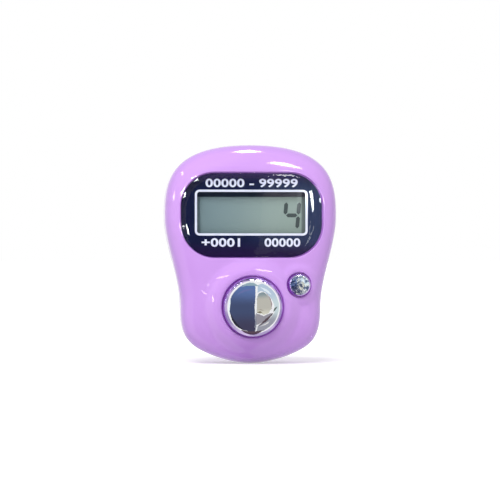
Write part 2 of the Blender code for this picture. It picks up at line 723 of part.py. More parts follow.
def make_rear_cover():
    """Rear cover: a shallow tray with a lip, screw posts, the cell's ring and the strap saddle."""
    cover = rear_tray()
    sunk = REAR_FLOOR - WALL / 2
    ring_section = [
        (CELL_RING_RADIUS, CELL_RING_FRONT),
        (CELL_ROOM, CELL_RING_FRONT),
        (CELL_ROOM, sunk),
        (CELL_RING_RADIUS, sunk),
    ]
    ring = turned("cell_ring", ring_section, steps=32, ring=True, at=(0, CELL_LEVEL, 0))
    rib_top = CELL_REAR - CONTACT_THICKNESS - 2 * LAYER_GAP
    rib = block(
        "cell_rib",
        (CONTACT_WIDTH, CELL_RIB, rib_top - sunk),
        (0, CELL_LEVEL, (rib_top + sunk) / 2),
    )
    saddle = prism(
        "saddle_pad",
        [rounded_rectangle(SADDLE_WIDTH, SADDLE_HEIGHT, SADDLE_CORNER, 4, (0, STRAP_LEVEL))],
        -SADDLE_REAR,
        -REAR_DEPTH + WALL / 2,
    )
    bevel(saddle, SADDLE_EDGE)
    notch_length = CELL_RING_WALL + 3 * CONTACT_LEG_GAP
    posts = []
    holes = [
        block(
            "strap_tunnel",
            (SADDLE_WIDTH + 2 * WALL, STRAP_WIDTH + 2 * TUNNEL_GAP, TUNNEL_HEIGHT),
            (0, STRAP_LEVEL, -STRAP_DEPTH),
        ),
        block(
            "contact_notch",
            (notch_length, CONTACT_WIDTH + 4 * CLEARANCE, CELL_RING_FRONT - REAR_FLOOR),
            (
                CELL_RING_RADIUS - CONTACT_LEG_GAP + notch_length / 2,
                CELL_LEVEL,
                (CELL_RING_FRONT + REAR_FLOOR) / 2 + CLEARANCE,
            ),
        ),
    ]
    for number, place_at in enumerate(CASE_SCREW_PLACES, 1):
        top = CASE_BOSS_FRONT - CLEARANCE
        posts.append(post(f"rear_post_{number}", CASE_POST_RADIUS, sunk, top, place_at))
        holes.append(
            post(f"shank_hole_{number}", CASE_SHANK_RADIUS + CLEARANCE, -REAR_DEPTH, WALL, place_at, 16)
        )
        holes.append(
            post(
                f"head_pocket_{number}",
                CASE_HEAD_RADIUS + CLEARANCE,
                -REAR_DEPTH - WALL,
                SCREW_SEAT,
                place_at,
            )
        )
    join(cover, ring, rib, saddle, *posts)
    cut(cover, *holes)
    return smooth(cover)


def make_window():
    """The lens, crowned like the cover but with a rounded border, and the printed film behind it."""

    def crowned(points, drop=0.0):
        return [(x, y, crown_height(share_at(x, y)) + LENS_PROUD - drop) for x, y in points]

    rings = [[(x, y, LENS_REAR) for x, y in lens_outline()]]
    slope = math.asin(LENS_BORDER / LENS_BORDER_RADIUS)
    steps = 4
    for i in range(steps + 1):
        angle = slope * (1 - i / steps)
        inset = LENS_BORDER - LENS_BORDER_RADIUS * math.sin(angle)
        rings.append(crowned(lens_outline(-inset), LENS_BORDER_RADIUS * (1 - math.cos(angle))))
    middle = np.array((0, LENS_LEVEL))
    inner = np.array(lens_outline(-LENS_BORDER))
    for share in LENS_RING_SHARES:
        rings.append(crowned(middle + (inner - middle) * share))
    smooth(loft("display_lens", rings, material="clear_plastic"), 25)
    outlines = [lens_outline(), view_outline()]
    prism("printed_film", outlines, FILM_REAR, FILM_REAR + FILM_THICKNESS, material="black_print")


def make_display():
    """The display cell: two glass plates between polarizers, with a contact ledge at the bottom."""

    def plate(name, width, height, level, rear, thickness, material):
        centre = (0, level, rear + thickness / 2)
        return block(name, (width, height, thickness), centre, material=material)

    film = (GLASS_WIDTH - 2 * POLARIZER_MARGIN, GLASS_HEIGHT - 2 * POLARIZER_MARGIN, VIEW_LEVEL)
    ledge_level = VIEW_LEVEL - GLASS_LEDGE / 2
    plate("front_polarizer", *film, FRONT_POLARIZER_REAR, POLARIZER_THICKNESS, "display_film")
    plate(
        "front_glass",
        GLASS_WIDTH,
        GLASS_HEIGHT + GLASS_LEDGE,
        ledge_level,
        FRONT_GLASS_REAR,
        GLASS_THICKNESS,
        "glass",
    )
    plate("rear_glass", GLASS_WIDTH, GLASS_HEIGHT, VIEW_LEVEL, REAR_GLASS_REAR, GLASS_THICKNESS, "glass")
    plate("reflector_film", *film, REAR_POLARIZER_REAR, POLARIZER_THICKNESS, "display_film")
    low = BOARD_FRONT + LAYER_GAP
    zebra_level = VIEW_LEVEL - GLASS_HEIGHT / 2 - GLASS_LEDGE / 2
    zebra_size = (GLASS_WIDTH - 2 * ZEBRA_END, GLASS_LEDGE - 2 * ZEBRA_MARGIN)
    zebra_height = FRONT_GLASS_REAR - LAYER_GAP - low
    zebra = plate("zebra_connector", *zebra_size, zebra_level, low, zebra_height, "grey_rubber")
    bevel(zebra, ZEBRA_EDGE, 1)
    foam_size = (GLASS_WIDTH - 2 * FOAM_END, GLASS_HEIGHT - 2 * FOAM_MARGIN)
    foam_height = REAR_POLARIZER_REAR - LAYER_GAP - low
    plate("display_foam_pad", *foam_size, VIEW_LEVEL, low, foam_height, "white_foam")


def make_board():
    """The circuit board, notched round the case bosses, with the sealed chip and two parts."""
    board = prism(
        "circuit_board", [body_outline(BOARD_INSET)[::2]], BOARD_REAR, BOARD_FRONT, material="circuit_board"
    )
    holes = []
    for number, place_at in enumerate(CASE_SCREW_PLACES, 1):
        radius = CASE_BOSS_RADIUS + 2 * CLEARANCE
        holes.append(post(f"board_notch_{number}", radius, 0, 2 * BOARD_FRONT, place_at, 18))
    for number, place_at in enumerate(BOARD_SCREW_PLACES, 1):
        radius = BOARD_SHANK_RADIUS + CLEARANCE
        holes.append(post(f"board_hole_{number}", radius, 0, 2 * BOARD_FRONT, place_at, 12))
    cut(board, *holes)
    steps = 5
    top = BOARD_REAR - LAYER_GAP
    dome = [(BLOB_RADIUS * math.cos(a), top - BLOB_HEIGHT * math.sin(a)) for a in quarter(steps)]
    blob = [(0, top), *dome[:-1], (0, top - BLOB_HEIGHT)]
    smooth(turned("chip_resin_blob", blob, steps=24, at=(0, BLOB_LEVEL, 0), material="black_resin"))
    size = (CHIP_LENGTH, CHIP_WIDTH, CHIP_HEIGHT)
    for name, x, material in (
        ("chip_resistor", -CHIP_X, "black_resin"),
        ("chip_capacitor", CHIP_X, "ceramic"),
    ):
        chip = block(name, size, (x, CHIP_LEVEL, top - CHIP_HEIGHT / 2), material=material)
        bevel(chip, CHIP_EDGE, 1)


def quarter(steps):
    """Even angles from 0 to 90 degrees."""
    return [math.pi / 2 * i / steps for i in range(steps + 1)]


def button_crown(radius, rim, cap_radius, edge):
    """Profile of a button's top, from its apex down: a ball-shaped cap that runs into a round edge."""
    shoulder = radius - edge
    slope = math.asin(shoulder / (cap_radius - edge))
    middle = rim - (cap_radius - edge) * math.cos(slope)
    points = []
    steps = 5
    for i in range(steps + 1):
        a = slope * i / steps
        points.append((cap_radius * math.sin(a), middle + cap_radius * math.cos(a)))
    for i in range(1, steps + 1):
        a = slope + (math.pi / 2 - slope) * i / steps
        points.append((shoulder + edge * math.sin(a), rim + edge * math.cos(a)))
    return points


def make_buttons():
    """The two plated buttons: domed tops, flanges that hold them in, and plungers for the keys."""
    foot = KEY_TOP + CLEARANCE / 2
    low = FLANGE_TOP - FLANGE_THICKNESS
    rim = crown_height(share_at(0, COUNT_LEVEL)) + COUNT_MOUND + COUNT_RISE
    flange = COUNT_RADIUS + BUTTON_GAP + FLANGE_REACH
    inside = COUNT_RADIUS - COUNT_SHELL
    roof = rim + COUNT_HOLLOW_REACH
    profile = button_crown(COUNT_RADIUS, rim, COUNT_CAP_RADIUS, COUNT_EDGE) + [
        (COUNT_RADIUS, FLANGE_TOP),
        (flange, FLANGE_TOP),
        (flange, low),
        (inside, low),
        (inside, roof),
        (COUNT_KEY_HEAD, roof + COUNT_HOLLOW_RISE),
        (COUNT_PLUNGER_RADIUS, roof + COUNT_HOLLOW_RISE),
        (COUNT_PLUNGER_RADIUS, foot),
        (0, foot),
    ]
    smooth(turned("count_button", profile, steps=34, at=(0, COUNT_LEVEL, 0), material="chrome"))
    rim = crown_height(share_at(RESET_X, RESET_LEVEL)) + RESET_MOUND + RESET_RISE
    flange = RESET_RADIUS + BUTTON_GAP + FLANGE_REACH
    profile = button_crown(RESET_RADIUS, rim, RESET_CAP_RADIUS, RESET_EDGE) + [
        (RESET_RADIUS, FLANGE_TOP),
        (flange, FLANGE_TOP),
        (flange, low),
        (RESET_KEY_HEAD, low),
        (RESET_KEY_HEAD, foot),
        (0, foot),
    ]
    place_at = (RESET_X, RESET_LEVEL, 0)
    smooth(turned("reset_button", profile, steps=24, at=place_at, material="chrome"))


def make_key(name, at, radius, head, pill_radius, travel):
    """A rubber key: a base, a thin cone, and a head that carries a carbon pill over the board."""
    floor = BOARD_FRONT + LAYER_GAP
    base = floor + KEY_BASE
    roof = KEY_TOP - KEY_ROOF
    wall = (radius - head) / 3
    profile = [
        (0, KEY_TOP),
        (head, KEY_TOP),
        (head, roof + KEY_WEB),
        (radius - wall, base),
        (radius, base),
        (radius, floor),
        (radius - 1.5 * wall, floor),
        (head - KEY_WEB / 2, roof - KEY_WEB / 4),
        (pill_radius + CLEARANCE, roof),
        (0, roof),
    ]
    smooth(turned(f"{name}_rubber_key", profile, steps=24, at=(*at, 0), material="grey_rubber"))
    top = roof - LAYER_GAP
    low = max(top - PILL_THICKNESS, BOARD_FRONT + travel + CLEARANCE / 2)
    smooth(post(f"{name}_contact_pill", pill_radius, low, top, at, 20, material="black_rubber"))


def strip_outline(path, thickness):
    """The outline of a bent strip of even thickness that follows a path."""
    points = np.array(path, float)
    step = np.diff(points, axis=0)
    unit = step / np.linalg.norm(step, axis=1)[:, None]
    normal = np.stack((-unit[:, 1], unit[:, 0]), axis=1)
    shift = [normal[0]]
    for a, b in zip(normal, normal[1:]):
        shift.append((a + b) / (1 + a @ b))
    shift.append(normal[-1])
    shift = np.array(shift) * thickness / 2
    return [tuple(p) for p in points + shift] + [tuple(p) for p in (points - shift)[::-1]]


def make_cell():
    """The button cell, standing cap forward, and its two bent contacts."""
    cap_base = CELL_FRONT - CELL_CAP_HEIGHT
    edge = CELL_CAP_HEIGHT
    profile = [
        (0, CELL_FRONT),
        (CELL_CAP_RADIUS, CELL_FRONT),
        (CELL_CAP_RADIUS, cap_base),
        (CELL_RADIUS - edge / 2, cap_base),
        (CELL_RADIUS, cap_base - edge / 2),
        (CELL_RADIUS, CELL_REAR + edge / 2),
        (CELL_RADIUS - edge / 2, CELL_REAR),
        (0, CELL_REAR),
    ]
    smooth(turned("button_cell", profile, steps=32, at=(0, CELL_LEVEL, 0), material="steel"))
    half = CONTACT_THICKNESS / 2
    under = CELL_REAR - LAYER_GAP - half
    top = BOARD_REAR - LAYER_GAP - half
    leg = CELL_ROOM + CONTACT_LEG_GAP
    foot = leg - CONTACT_LEG_GAP
    path = [(-CELL_RADIUS / 2, under), (leg, under), (leg, top), (foot, top)]
    bent_strip("positive_contact", path)
    touch = CELL_FRONT + LAYER_GAP + half
    reach = CONTACT_REACH
    path = [(-reach, top), (-reach / 2, top), (-reach / 6, touch), (reach / 6, touch), (reach / 2, top)]
    bent_strip("negative_contact", path)


def bent_strip(name, path):
    """A battery contact: a strip of sheet steel that follows a path seen from the chin."""
    half = CONTACT_WIDTH / 2
    strip = prism(name, [strip_outline(path, CONTACT_THICKNESS)], -half, half, material="steel")
    strip.location = (0, CELL_LEVEL, 0)
    strip.rotation_euler = (math.pi / 2, 0, 0)


def make_screw(name, at, seat, shank_radius, length, head_radius, head_height):
    """A pan-head screw that enters from behind, with its cross recess facing back."""
    edge = head_height / 3
    profile = [
        (0, seat + length),
        (shank_radius / 3, seat + length),
        (shank_radius, seat + length - 1.5 * shank_radius),
        (shank_radius, seat - LAYER_GAP),
        (head_radius, seat - LAYER_GAP),
        (head_radius, seat - head_height + edge),
        (head_radius - edge, seat - head_height),
        (0, seat - head_height),
    ]
    screw = turned(name, profile, steps=12, at=(*at, 0), material="steel")
    span = head_radius * RECESS_SPAN_SHARE
    slot = head_radius * RECESS_WIDTH_SHARE
    depth = head_height * RECESS_DEPTH_SHARE
    centre = (*at, seat - head_height)
    across = block(f"{name}_slot_across", (span, slot, 2 * depth), centre)
    upright = block(f"{name}_slot_upright", (slot, span, 2 * depth), centre)
    cut(screw, across, upright)
    return smooth(screw)


def make_screws():
    """Three screws hold the covers together and four hold the board to the front cover."""
    for number, place_at in enumerate(CASE_SCREW_PLACES, 1):
        make_screw(
            f"case_screw_{number}",
            place_at,
            SCREW_SEAT,
            CASE_SHANK_RADIUS,
            CASE_SHANK_LENGTH,
            CASE_HEAD_RADIUS,
            CASE_HEAD_HEIGHT,
        )
    for number, place_at in enumerate(BOARD_SCREW_PLACES, 1):
        make_screw(
            f"board_screw_{number}",
            place_at,
            BOARD_REAR,
            BOARD_SHANK_RADIUS,
            BOARD_SHANK_LENGTH,
            BOARD_HEAD_RADIUS,
            BOARD_HEAD_HEIGHT,
        )


def loop_point(angle, offset):
    """A point of the round part of the strap, its angle measured from the far side to the right."""
    radius = LOOP_RADIUS + offset
    return np.array((radius * math.sin(angle), -LOOP_CENTRE - radius * math.cos(angle)))


def layer_offset(angle):
    """How far the outer layer lies outside the inner one: it steps out past the tucked end."""
    t = min(1.0, max(0.0, (STEP_END - angle) / (STEP_END - STEP_START)))
    return LAYER_STEP * (1 - math.cos(math.pi * t)) / 2


def strap_path():
    """The strap's middle line across the finger: tail, right side, tunnel, left side, tucked end."""
    turn = math.pi / 2
    path = []
    steps = 15
    for i in range(steps + 1):
        angle = TAIL_ANGLE + (turn - TAIL_ANGLE) * i / steps
        path.append(loop_point(angle, layer_offset(angle)))
    bend_x = LOOP_RADIUS - BEND_RADIUS
    bend_z = -STRAP_DEPTH - BEND_RADIUS
    side = [(LOOP_RADIUS, -LOOP_CENTRE + (bend_z + LOOP_CENTRE) * share) for share in (1 / 3, 2 / 3)]
    right = arc((bend_x, bend_z), BEND_RADIUS, 0, turn, 4)
    left = [(-x, z) for x, z in reversed(side + right)]
    path += [np.array(p) for p in side + right]
    path += [np.array((share * bend_x, -STRAP_DEPTH)) for share in (0.5, -0.5)]
    path += [np.array(p) for p in left]
    for i in range(steps - 3):
        angle = -turn + (TUCK_ANGLE + turn) * i / (steps - 4)
        path.append(loop_point(angle, 0))
    return path


def strap_section(half_width):
    """The strap's section with eased edges, as (across, through) points."""
    across = half_width - STRAP_EDGE
    through = STRAP_THICKNESS / 2 - STRAP_EDGE
    corner = ((STRAP_EDGE, 0), (0, STRAP_EDGE))
    points = [(across + a, through + t) for a, t in corner]
    points += [(-across - a, through + t) for a, t in reversed(corner)]
    points += [(-across - a, -through - t) for a, t in corner]
    points += [(across + a, -through - t) for a, t in reversed(corner)]
    return points


def end_width(distance):
    """Half the strap's width near an end, which is cut round."""
    half = STRAP_WIDTH / 2
    gone = max(0.0, half - distance)
    return max(STRAP_EDGE * 2, math.sqrt(max(0.0, half**2 - gone**2)))


def with_round_ends(path):
    """The path with extra points near both ends, so that the round ends have an even edge."""
    half = STRAP_WIDTH / 2
    fine = [half * (1 - math.cos(a)) for a in quarter(6)]
    points = np.array(path)
    lengths = np.concatenate(([0], np.cumsum(np.linalg.norm(np.diff(points, axis=0), axis=1))))
    total = lengths[-1]
    clear = half + STRAP_EDGE
    middle = [d for d in lengths if clear < d < total - clear]
    stations = sorted(fine + middle + [total - d for d in fine])
    xs = np.interp(stations, lengths, points[:, 0])
    zs = np.interp(stations, lengths, points[:, 1])
    return np.stack((xs, zs), axis=1), stations, total


def make_strap():
    """The soft strap: one strip through the saddle, its tail held over a stud on the tucked end."""
    points, stations, total = with_round_ends(strap_path())
    step = np.gradient(points, axis=0)
    unit = step / np.linalg.norm(step, axis=1)[:, None]
    rings = []
    for point, along, station in zip(points, unit, stations):
        normal = (-along[1], along[0])
        section = strap_section(end_width(min(station, total - station)))
        rings.append(
            [(point[0] + normal[0] * t, STRAP_LEVEL + a, point[1] + normal[1] * t) for a, t in section]
        )
    strap = loft("finger_strap", rings, material="lilac_rubber")
    inward = LAYER_STEP / 2
    outward = STRAP_THICKNESS
    holes = []
    for number in range(-STRAP_HOLES_BEYOND, STRAP_HOLES_BEFORE + 1):
        angle = number * STRAP_HOLE_PITCH / (LOOP_RADIUS + LAYER_STEP)
        middle = loop_point(angle, layer_offset(angle) + (outward - inward) / 2)
        hole = post(f"strap_hole_{number + STRAP_HOLES_BEYOND + 1}", STRAP_HOLE_RADIUS, -inward, outward)
        hole.location = (middle[0], STRAP_LEVEL, middle[1])
        hole.rotation_euler = (0, -angle, 0)
        holes.append(hole)
    head_low = LOOP_RADIUS + LAYER_STEP + STRAP_THICKNESS / 2 + CLEARANCE
    stud_profile = [(0, -LOOP_RADIUS), (STUD_RADIUS, -LOOP_RADIUS), (STUD_RADIUS, -head_low)]
    for angle in quarter(3)[:-1]:
        rise = STUD_HEAD_HEIGHT * math.sin(angle)
        stud_profile.append((STUD_HEAD_RADIUS * math.cos(angle), -head_low - rise))
    stud_profile.append((0, -head_low - STUD_HEAD_HEIGHT))
    stud = turned("strap_stud", stud_profile, steps=16, at=(0, STRAP_LEVEL, -LOOP_CENTRE))
    cut(strap, *holes)
    join(strap, stud)
    return smooth(strap, 50)


def main():
    """Make every part in turn."""
    make_front_cover()
    make_rear_cover()
    make_window()
    make_display()
    make_board()
    make_buttons()
    make_key(
        "count", (0, COUNT_LEVEL), COUNT_KEY_RADIUS, COUNT_KEY_HEAD, COUNT_PILL_RADIUS, COUNT_TRAVEL
    )
    make_key(
        "reset",
        (RESET_X, RESET_LEVEL),
        RESET_KEY_RADIUS,
        RESET_KEY_HEAD,
        RESET_PILL_RADIUS,
        RESET_TRAVEL,
    )
    make_cell()
    make_screws()
    make_strap()
    bpy.context.view_layer.update()


main()
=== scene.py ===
"""Digital finger counter, dressed for pictures.

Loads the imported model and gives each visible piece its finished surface: the two glossy covers,
the window with its print and display, the plated buttons, the soft strap and the screws.

Pieces are drawn in the face frame, in millimetres: x to the right, y up the face from the lowest
point of the chin, and z out of the face from the plane where the two covers meet.
"""

from __future__ import annotations

import logging
import math
from dataclasses import dataclass
from enum import Enum
from functools import cached_property
from typing import Callable, Optional, Sequence, Union

import bmesh
import bpy
import numpy as np
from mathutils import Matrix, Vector, geometry

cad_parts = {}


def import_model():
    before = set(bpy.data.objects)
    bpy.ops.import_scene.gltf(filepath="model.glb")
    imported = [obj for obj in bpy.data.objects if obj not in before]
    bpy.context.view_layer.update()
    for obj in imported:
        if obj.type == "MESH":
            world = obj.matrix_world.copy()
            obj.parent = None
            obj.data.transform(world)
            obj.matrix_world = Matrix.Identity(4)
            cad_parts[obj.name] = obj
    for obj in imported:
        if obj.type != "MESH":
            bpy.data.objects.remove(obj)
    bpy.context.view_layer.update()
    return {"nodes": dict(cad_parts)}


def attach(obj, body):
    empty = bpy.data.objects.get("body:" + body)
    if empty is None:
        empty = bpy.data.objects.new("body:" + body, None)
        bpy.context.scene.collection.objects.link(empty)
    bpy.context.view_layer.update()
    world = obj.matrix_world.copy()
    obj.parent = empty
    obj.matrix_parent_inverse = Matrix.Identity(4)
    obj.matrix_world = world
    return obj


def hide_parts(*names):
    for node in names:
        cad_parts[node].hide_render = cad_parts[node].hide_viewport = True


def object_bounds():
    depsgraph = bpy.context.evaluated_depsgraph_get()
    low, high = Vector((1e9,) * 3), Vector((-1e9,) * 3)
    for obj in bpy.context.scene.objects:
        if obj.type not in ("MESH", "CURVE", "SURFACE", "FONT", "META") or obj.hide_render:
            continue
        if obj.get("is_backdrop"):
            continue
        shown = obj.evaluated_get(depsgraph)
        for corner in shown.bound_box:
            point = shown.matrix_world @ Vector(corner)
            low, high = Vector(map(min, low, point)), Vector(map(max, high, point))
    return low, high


log = logging.getLogger("finger_counter")

Points = np.ndarray
Colour = tuple[float, float, float]
Rows = Sequence[Sequence[float]]
Pair = tuple[float, float]
Number = Union["Value", float]
Node = bpy.types.Node
Socket = bpy.types.NodeSocket
Object = bpy.types.Object


# Where the face frame lies in the room


@dataclass(frozen=True)
class FaceFrame:
    """Place of the face frame in the room, which has its origin in the middle of the finger loop.

    Args:
        depth: distance from the finger loop's middle to the plane where the covers meet, in mm.
        level: height of the finger loop's middle above the chin, in mm.
    """

    depth: float = 16.55
    level: float = 17.5

    def place(self, points: Rows) -> Points:
        """Turn points of the face frame into metres in the room.

        Args:
            points: rows of x, y and z in the face frame, in mm.

        Returns:
            Rows of x, y and z in the room, in metres.
        """
        p = np.asarray(points, float).reshape(-1, 3)
        return np.stack((p[:, 0], -self.depth - p[:, 2], p[:, 1] - self.level), axis=1) * 0.001

    def read(self, point: Sequence[float]) -> Points:
        """Turn a place in the room, in metres, into x, y and z of the face frame, in mm."""
        x, y, z = (1000 * v for v in point)
        return np.array((x, z + self.level, -self.depth - y))


FACE = FaceFrame()


# Shader maths


def operator(operation: str, swapped: bool = False) -> Callable[["Value", Number], "Value"]:
    """One of Python's operators, as a method that adds a Math node.

    Args:
        operation: the Math node's operation.
        swapped: whether the other value stands first, as in 1 - value.

    Returns:
        The method.
    """

    def apply(value: "Value", other: Number) -> "Value":
        """Add the node and wrap its result."""
        return value.maths(operation, *((other, value) if swapped else (value, other)))

    return apply


class Value:
    """A number socket of a shader tree, on which Python's operators add Math nodes."""

    __add__, __radd__ = operator("ADD"), operator("ADD", True)
    __sub__, __rsub__ = operator("SUBTRACT"), operator("SUBTRACT", True)
    __mul__, __rmul__ = operator("MULTIPLY"), operator("MULTIPLY", True)
    __truediv__, __rtruediv__ = operator("DIVIDE"), operator("DIVIDE", True)
    __pow__, __rpow__ = operator("POWER"), operator("POWER", True)

    def __init__(self, tree: "ShaderTree", socket: Socket) -> None:
        """Wrap one output socket of a tree."""
        self.tree = tree
        self.socket = socket

    def maths(self, operation: str, *terms: Number) -> "Value":
        """Add one Math node.

        Args:
            operation: the Math node's operation.
            terms: its inputs in order, as numbers or wrapped sockets.

        Returns:
            The node's result, wrapped.
        """
        made = self.tree.add("ShaderNodeMath", {"operation": operation}, dict(enumerate(terms)))
        return Value(self.tree, made.outputs[0])

    def __neg__(self) -> "Value":
        """Opposite."""
        return self * -1.0

    def most(self, other: Number) -> "Value":
        """The larger of two values."""
        return self.maths("MAXIMUM", self, other)

    def eased(self, low: float, high: float) -> "Value":
        """Zero below low, one above high, and a smooth rise between them.

        Args:
            low: where the rise starts.
            high: where it ends.

        Returns:
            The eased value, wrapped.
        """
        made = self.tree.add(
            "ShaderNodeMapRange",
            {"interpolation_type": "SMOOTHSTEP"},
            {"Value": self, "From Min": low, "From Max": high},
        )
        return Value(self.tree, made.outputs["Result"])


class ShaderTree:
    """The node tree of a material, the world or a lamp, with one method that adds any node."""

    def __init__(self, owner: Union[bpy.types.Material, bpy.types.World]) -> None:
        """Empty the owner's node tree and start afresh.

        Args:
            owner: the material or world that has the tree.
        """
        owner.use_nodes = True
        self.nodes = owner.node_tree.nodes
        self.links = owner.node_tree.links
        self.nodes.clear()

    def add(
        self, kind: str, settings: Optional[dict] = None, values: Optional[dict] = None
    ) -> Node:
        """Add a node.

        Args:
            kind: the node's type.
            settings: what is set on the node first.
            values: for each input socket, by name or number, its value or what is linked to it.

        Returns:
            The new node.
        """
        node = self.nodes.new(kind)
        for name, setting in (settings or {}).items():
            setattr(node, name, setting)
        for name, value in (values or {}).items():
            socket = node.inputs[name]
            if isinstance(value, Value):
                self.links.new(value.socket, socket)
            elif isinstance(value, Socket):
                self.links.new(value, socket)
            elif isinstance(value, Node):
                self.links.new(value.outputs[0], socket)
            else:
                long = isinstance(value, tuple) and len(value) == 3 and socket.type == "RGBA"
                socket.default_value = (*value, 1.0) if long else value
        return node

    def blend(self, factor: Number, first: object, second: object) -> Socket:
        """Mix two colours.

        Args:
            factor: share of the second colour.
            first: a colour or a colour socket.
            second: a colour or a colour socket.

        Returns:
            The mixed colour's socket.
        """
        settings = {"data_type": "RGBA", "clamp_factor": True}
        return self.add("ShaderNodeMix", settings, {0: factor, 6: first, 7: second}).outputs[2]

    def place(self) -> Socket:
        """Coordinates fixed to the object, in metres."""
        return self.add("ShaderNodeTexCoord").outputs["Object"]

    def axis(self, name: str) -> Value:
        """One of the object's coordinates, X, Y or Z, in metres."""
        split = self.add("ShaderNodeSeparateXYZ", values={0: self.place()})
        return Value(self, split.outputs[name])

    def noise(self, scale: float, detail: float = 2.0, place: object = None) -> Value:
        """A cloudy value between 0 and 1.

        Args:
            scale: clouds per metre.
            detail: how many finer layers it has.
            place: coordinates other than the object's own.

        Returns:
            The noise, wrapped.
        """
        values = {"Vector": place or self.place(), "Scale": scale, "Detail": detail}
        return Value(self, self.add("ShaderNodeTexNoise", values=values).outputs["Fac"])

    def facing(self) -> Value:
        """Zero where the surface faces the eye, and one where it is seen edge on."""
        return Value(self, self.add("ShaderNodeLayerWeight", values={"Blend": 0.5}).outputs["Facing"])

    def bump(self, height: Number, distance: float) -> Socket:
        """A normal from a height, in metres of relief at height one."""
        return self.add("ShaderNodeBump", values={"Height": height, "Distance": distance}).outputs[0]

    def finish(self, shader: object) -> None:
        """Link a shader to the output."""
        self.add("ShaderNodeOutputMaterial", values={"Surface": shader})


# Finishes


@dataclass(frozen=True)
class Look:
    """What all finishes share: a material that is made only once.

    Args:
        name: the material's name.
    """

    name: str

    def shader(self, tree: ShaderTree) -> Node:
        """The shader of the material, made by each kind of finish in its own way."""
        raise NotImplementedError

    def material(self) -> bpy.types.Material:
        """The material, made the first time it is asked for.

        Returns:
            The material of this finish.
        """
        made = bpy.data.materials.get(self.name)
        if not made:
            made = bpy.data.materials.new(self.name)
            tree = ShaderTree(made)
            tree.finish(self.shader(tree))
        return made


@dataclass(frozen=True)
class Finish(Look):
    """A solid finish: its colour, its gloss, and how both vary over the surface.

    Args:
        colour: the main colour.
        other: the colour that clouds and wear turn it towards.
        clouds: colour clouds per metre.
        roughness: the lower roughness.
        spread: how much rougher it is in places.
        smudges: roughness clouds per metre.
        grain: bumps per metre.
        relief: height of the bumps in metres.
        metallic: one for metal.
        specular: level of the mirror part, 0.5 for most plastics.
    """

    colour: Colour
    other: Colour
    clouds: float = 90.0
    roughness: float = 0.4
    spread: float = 0.1
    smudges: float = 160.0
    grain: float = 1500.0
    relief: float = 0.000004
    metallic: float = 0.0
    specular: float = 0.5

    def colour_map(self, tree: ShaderTree) -> Socket:
        """The colour over the surface."""
        return tree.blend(tree.noise(self.clouds, 3.0).eased(0.35, 0.7), self.colour, self.other)

    def roughness_map(self, tree: ShaderTree) -> Number:
        """The roughness over the surface."""
        return self.roughness + self.spread * tree.noise(self.smudges, 4.0).eased(0.4, 0.75)

    def relief_map(self, tree: ShaderTree) -> Socket:
        """The fine relief over the surface."""
        return tree.bump(tree.noise(self.grain), self.relief)

    def extra(self) -> dict[str, object]:
        """Further values of the shader's own sockets."""
        return {}

    def shader(self, tree: ShaderTree) -> Node:
        """A Principled shader with this finish's maps.

        Args:
            tree: the material's tree.

        Returns:
            The shader.
        """
        values = {
            "Base Color": self.colour_map(tree),
            "Roughness": self.roughness_map(tree),
            "Metallic": self.metallic,
            "Specular IOR Level": self.specular,
            "Normal": self.relief_map(tree),
            **self.extra(),
        }
        return tree.add("ShaderNodeBsdfPrincipled", values=values)


@dataclass(frozen=True)
class MouldedGloss(Finish):
    """Glossy moulded plastic: even colour with painted shade where it turns away from the eye, slow waves
    from moulding, and a few handling smudges.

    Args:
        waves: moulding waves per metre.
        wave_relief: height of the waves in metres.
        painted_edge_shade: painted shade, the colour that it turns towards where the surface turns away
            from the eye.
        glow: strength of a painted glow in the main colour, light that no lamp gives.
    """

    spread: float = 0.05
    relief: float = 0.0000006
    specular: float = 0.2
    waves: float = 260.0
    wave_relief: float = 0.000003
    painted_edge_shade: Colour = (0.50, 0.24, 0.78)
    glow: float = 0.0

    def colour_map(self, tree: ShaderTree) -> Socket:
        """The colour over the surface, with painted shade: a little deeper where the surface turns away
        from the eye.
        """
        # painted shade: a deeper colour towards the edges that are seen side on
        return tree.blend(0.5 * tree.facing().eased(0.2, 0.7), super().colour_map(tree), self.painted_edge_shade)

    def relief_map(self, tree: ShaderTree) -> Socket:
        """Slow moulding waves with a very fine grain over them."""
        height = tree.noise(self.waves, 1.0) * self.wave_relief + tree.noise(self.grain) * self.relief
        return tree.bump(height, 1.0)

    def extra(self) -> dict[str, object]:
        """A thin clear gloss over the colour, and a painted glow in the main colour where glow is set."""
        # painted glow: emission in the finish's main colour, not a lamp
        lit = {"Emission Color": self.colour, "Emission Strength": self.glow} if self.glow else {}
        return {"Coat Weight": 0.5, "Coat Roughness": 0.02, **lit}


@dataclass(frozen=True)
class PlatedMetal(Finish):
    """Bright plating: a mirror with faint wipe marks and a softly uneven surface.

    Args:
        wipe_scale: wipe marks per metre.
    """

    metallic: float = 1.0
    wipe_scale: float = 700.0

    def roughness_map(self, tree: ShaderTree) -> Number:
        """Wipe marks: fine streaks inside wider smudges.

        Args:
            tree: the material's tree.

        Returns:
            The roughness, wrapped.
        """
        stretch = tree.add("ShaderNodeMapping", values={"Vector": tree.place(), "Scale": (0.25, 1.0, 2.5)})
        streaks = tree.noise(self.wipe_scale, 3.0, stretch)
        smudge = tree.noise(self.smudges).eased(0.45, 0.7)
        return self.roughness + self.spread * streaks.eased(0.5, 0.8) * smudge


@dataclass(frozen=True)
class PaintedReflectionMetal(PlatedMetal):
    """Bright plating over a hammered surface, with painted reflections: dark and light patches side by side
    in its colour.
    """

    def colour_map(self, tree: ShaderTree) -> Socket:
        """Painted reflections: small patches of colour that stand for the dark of the room or its lights.
        """
        # painted reflection: dark navy and white patches in the plating's colour
        return tree.blend(tree.noise(self.clouds).eased(0.40, 0.56), self.colour, self.other)


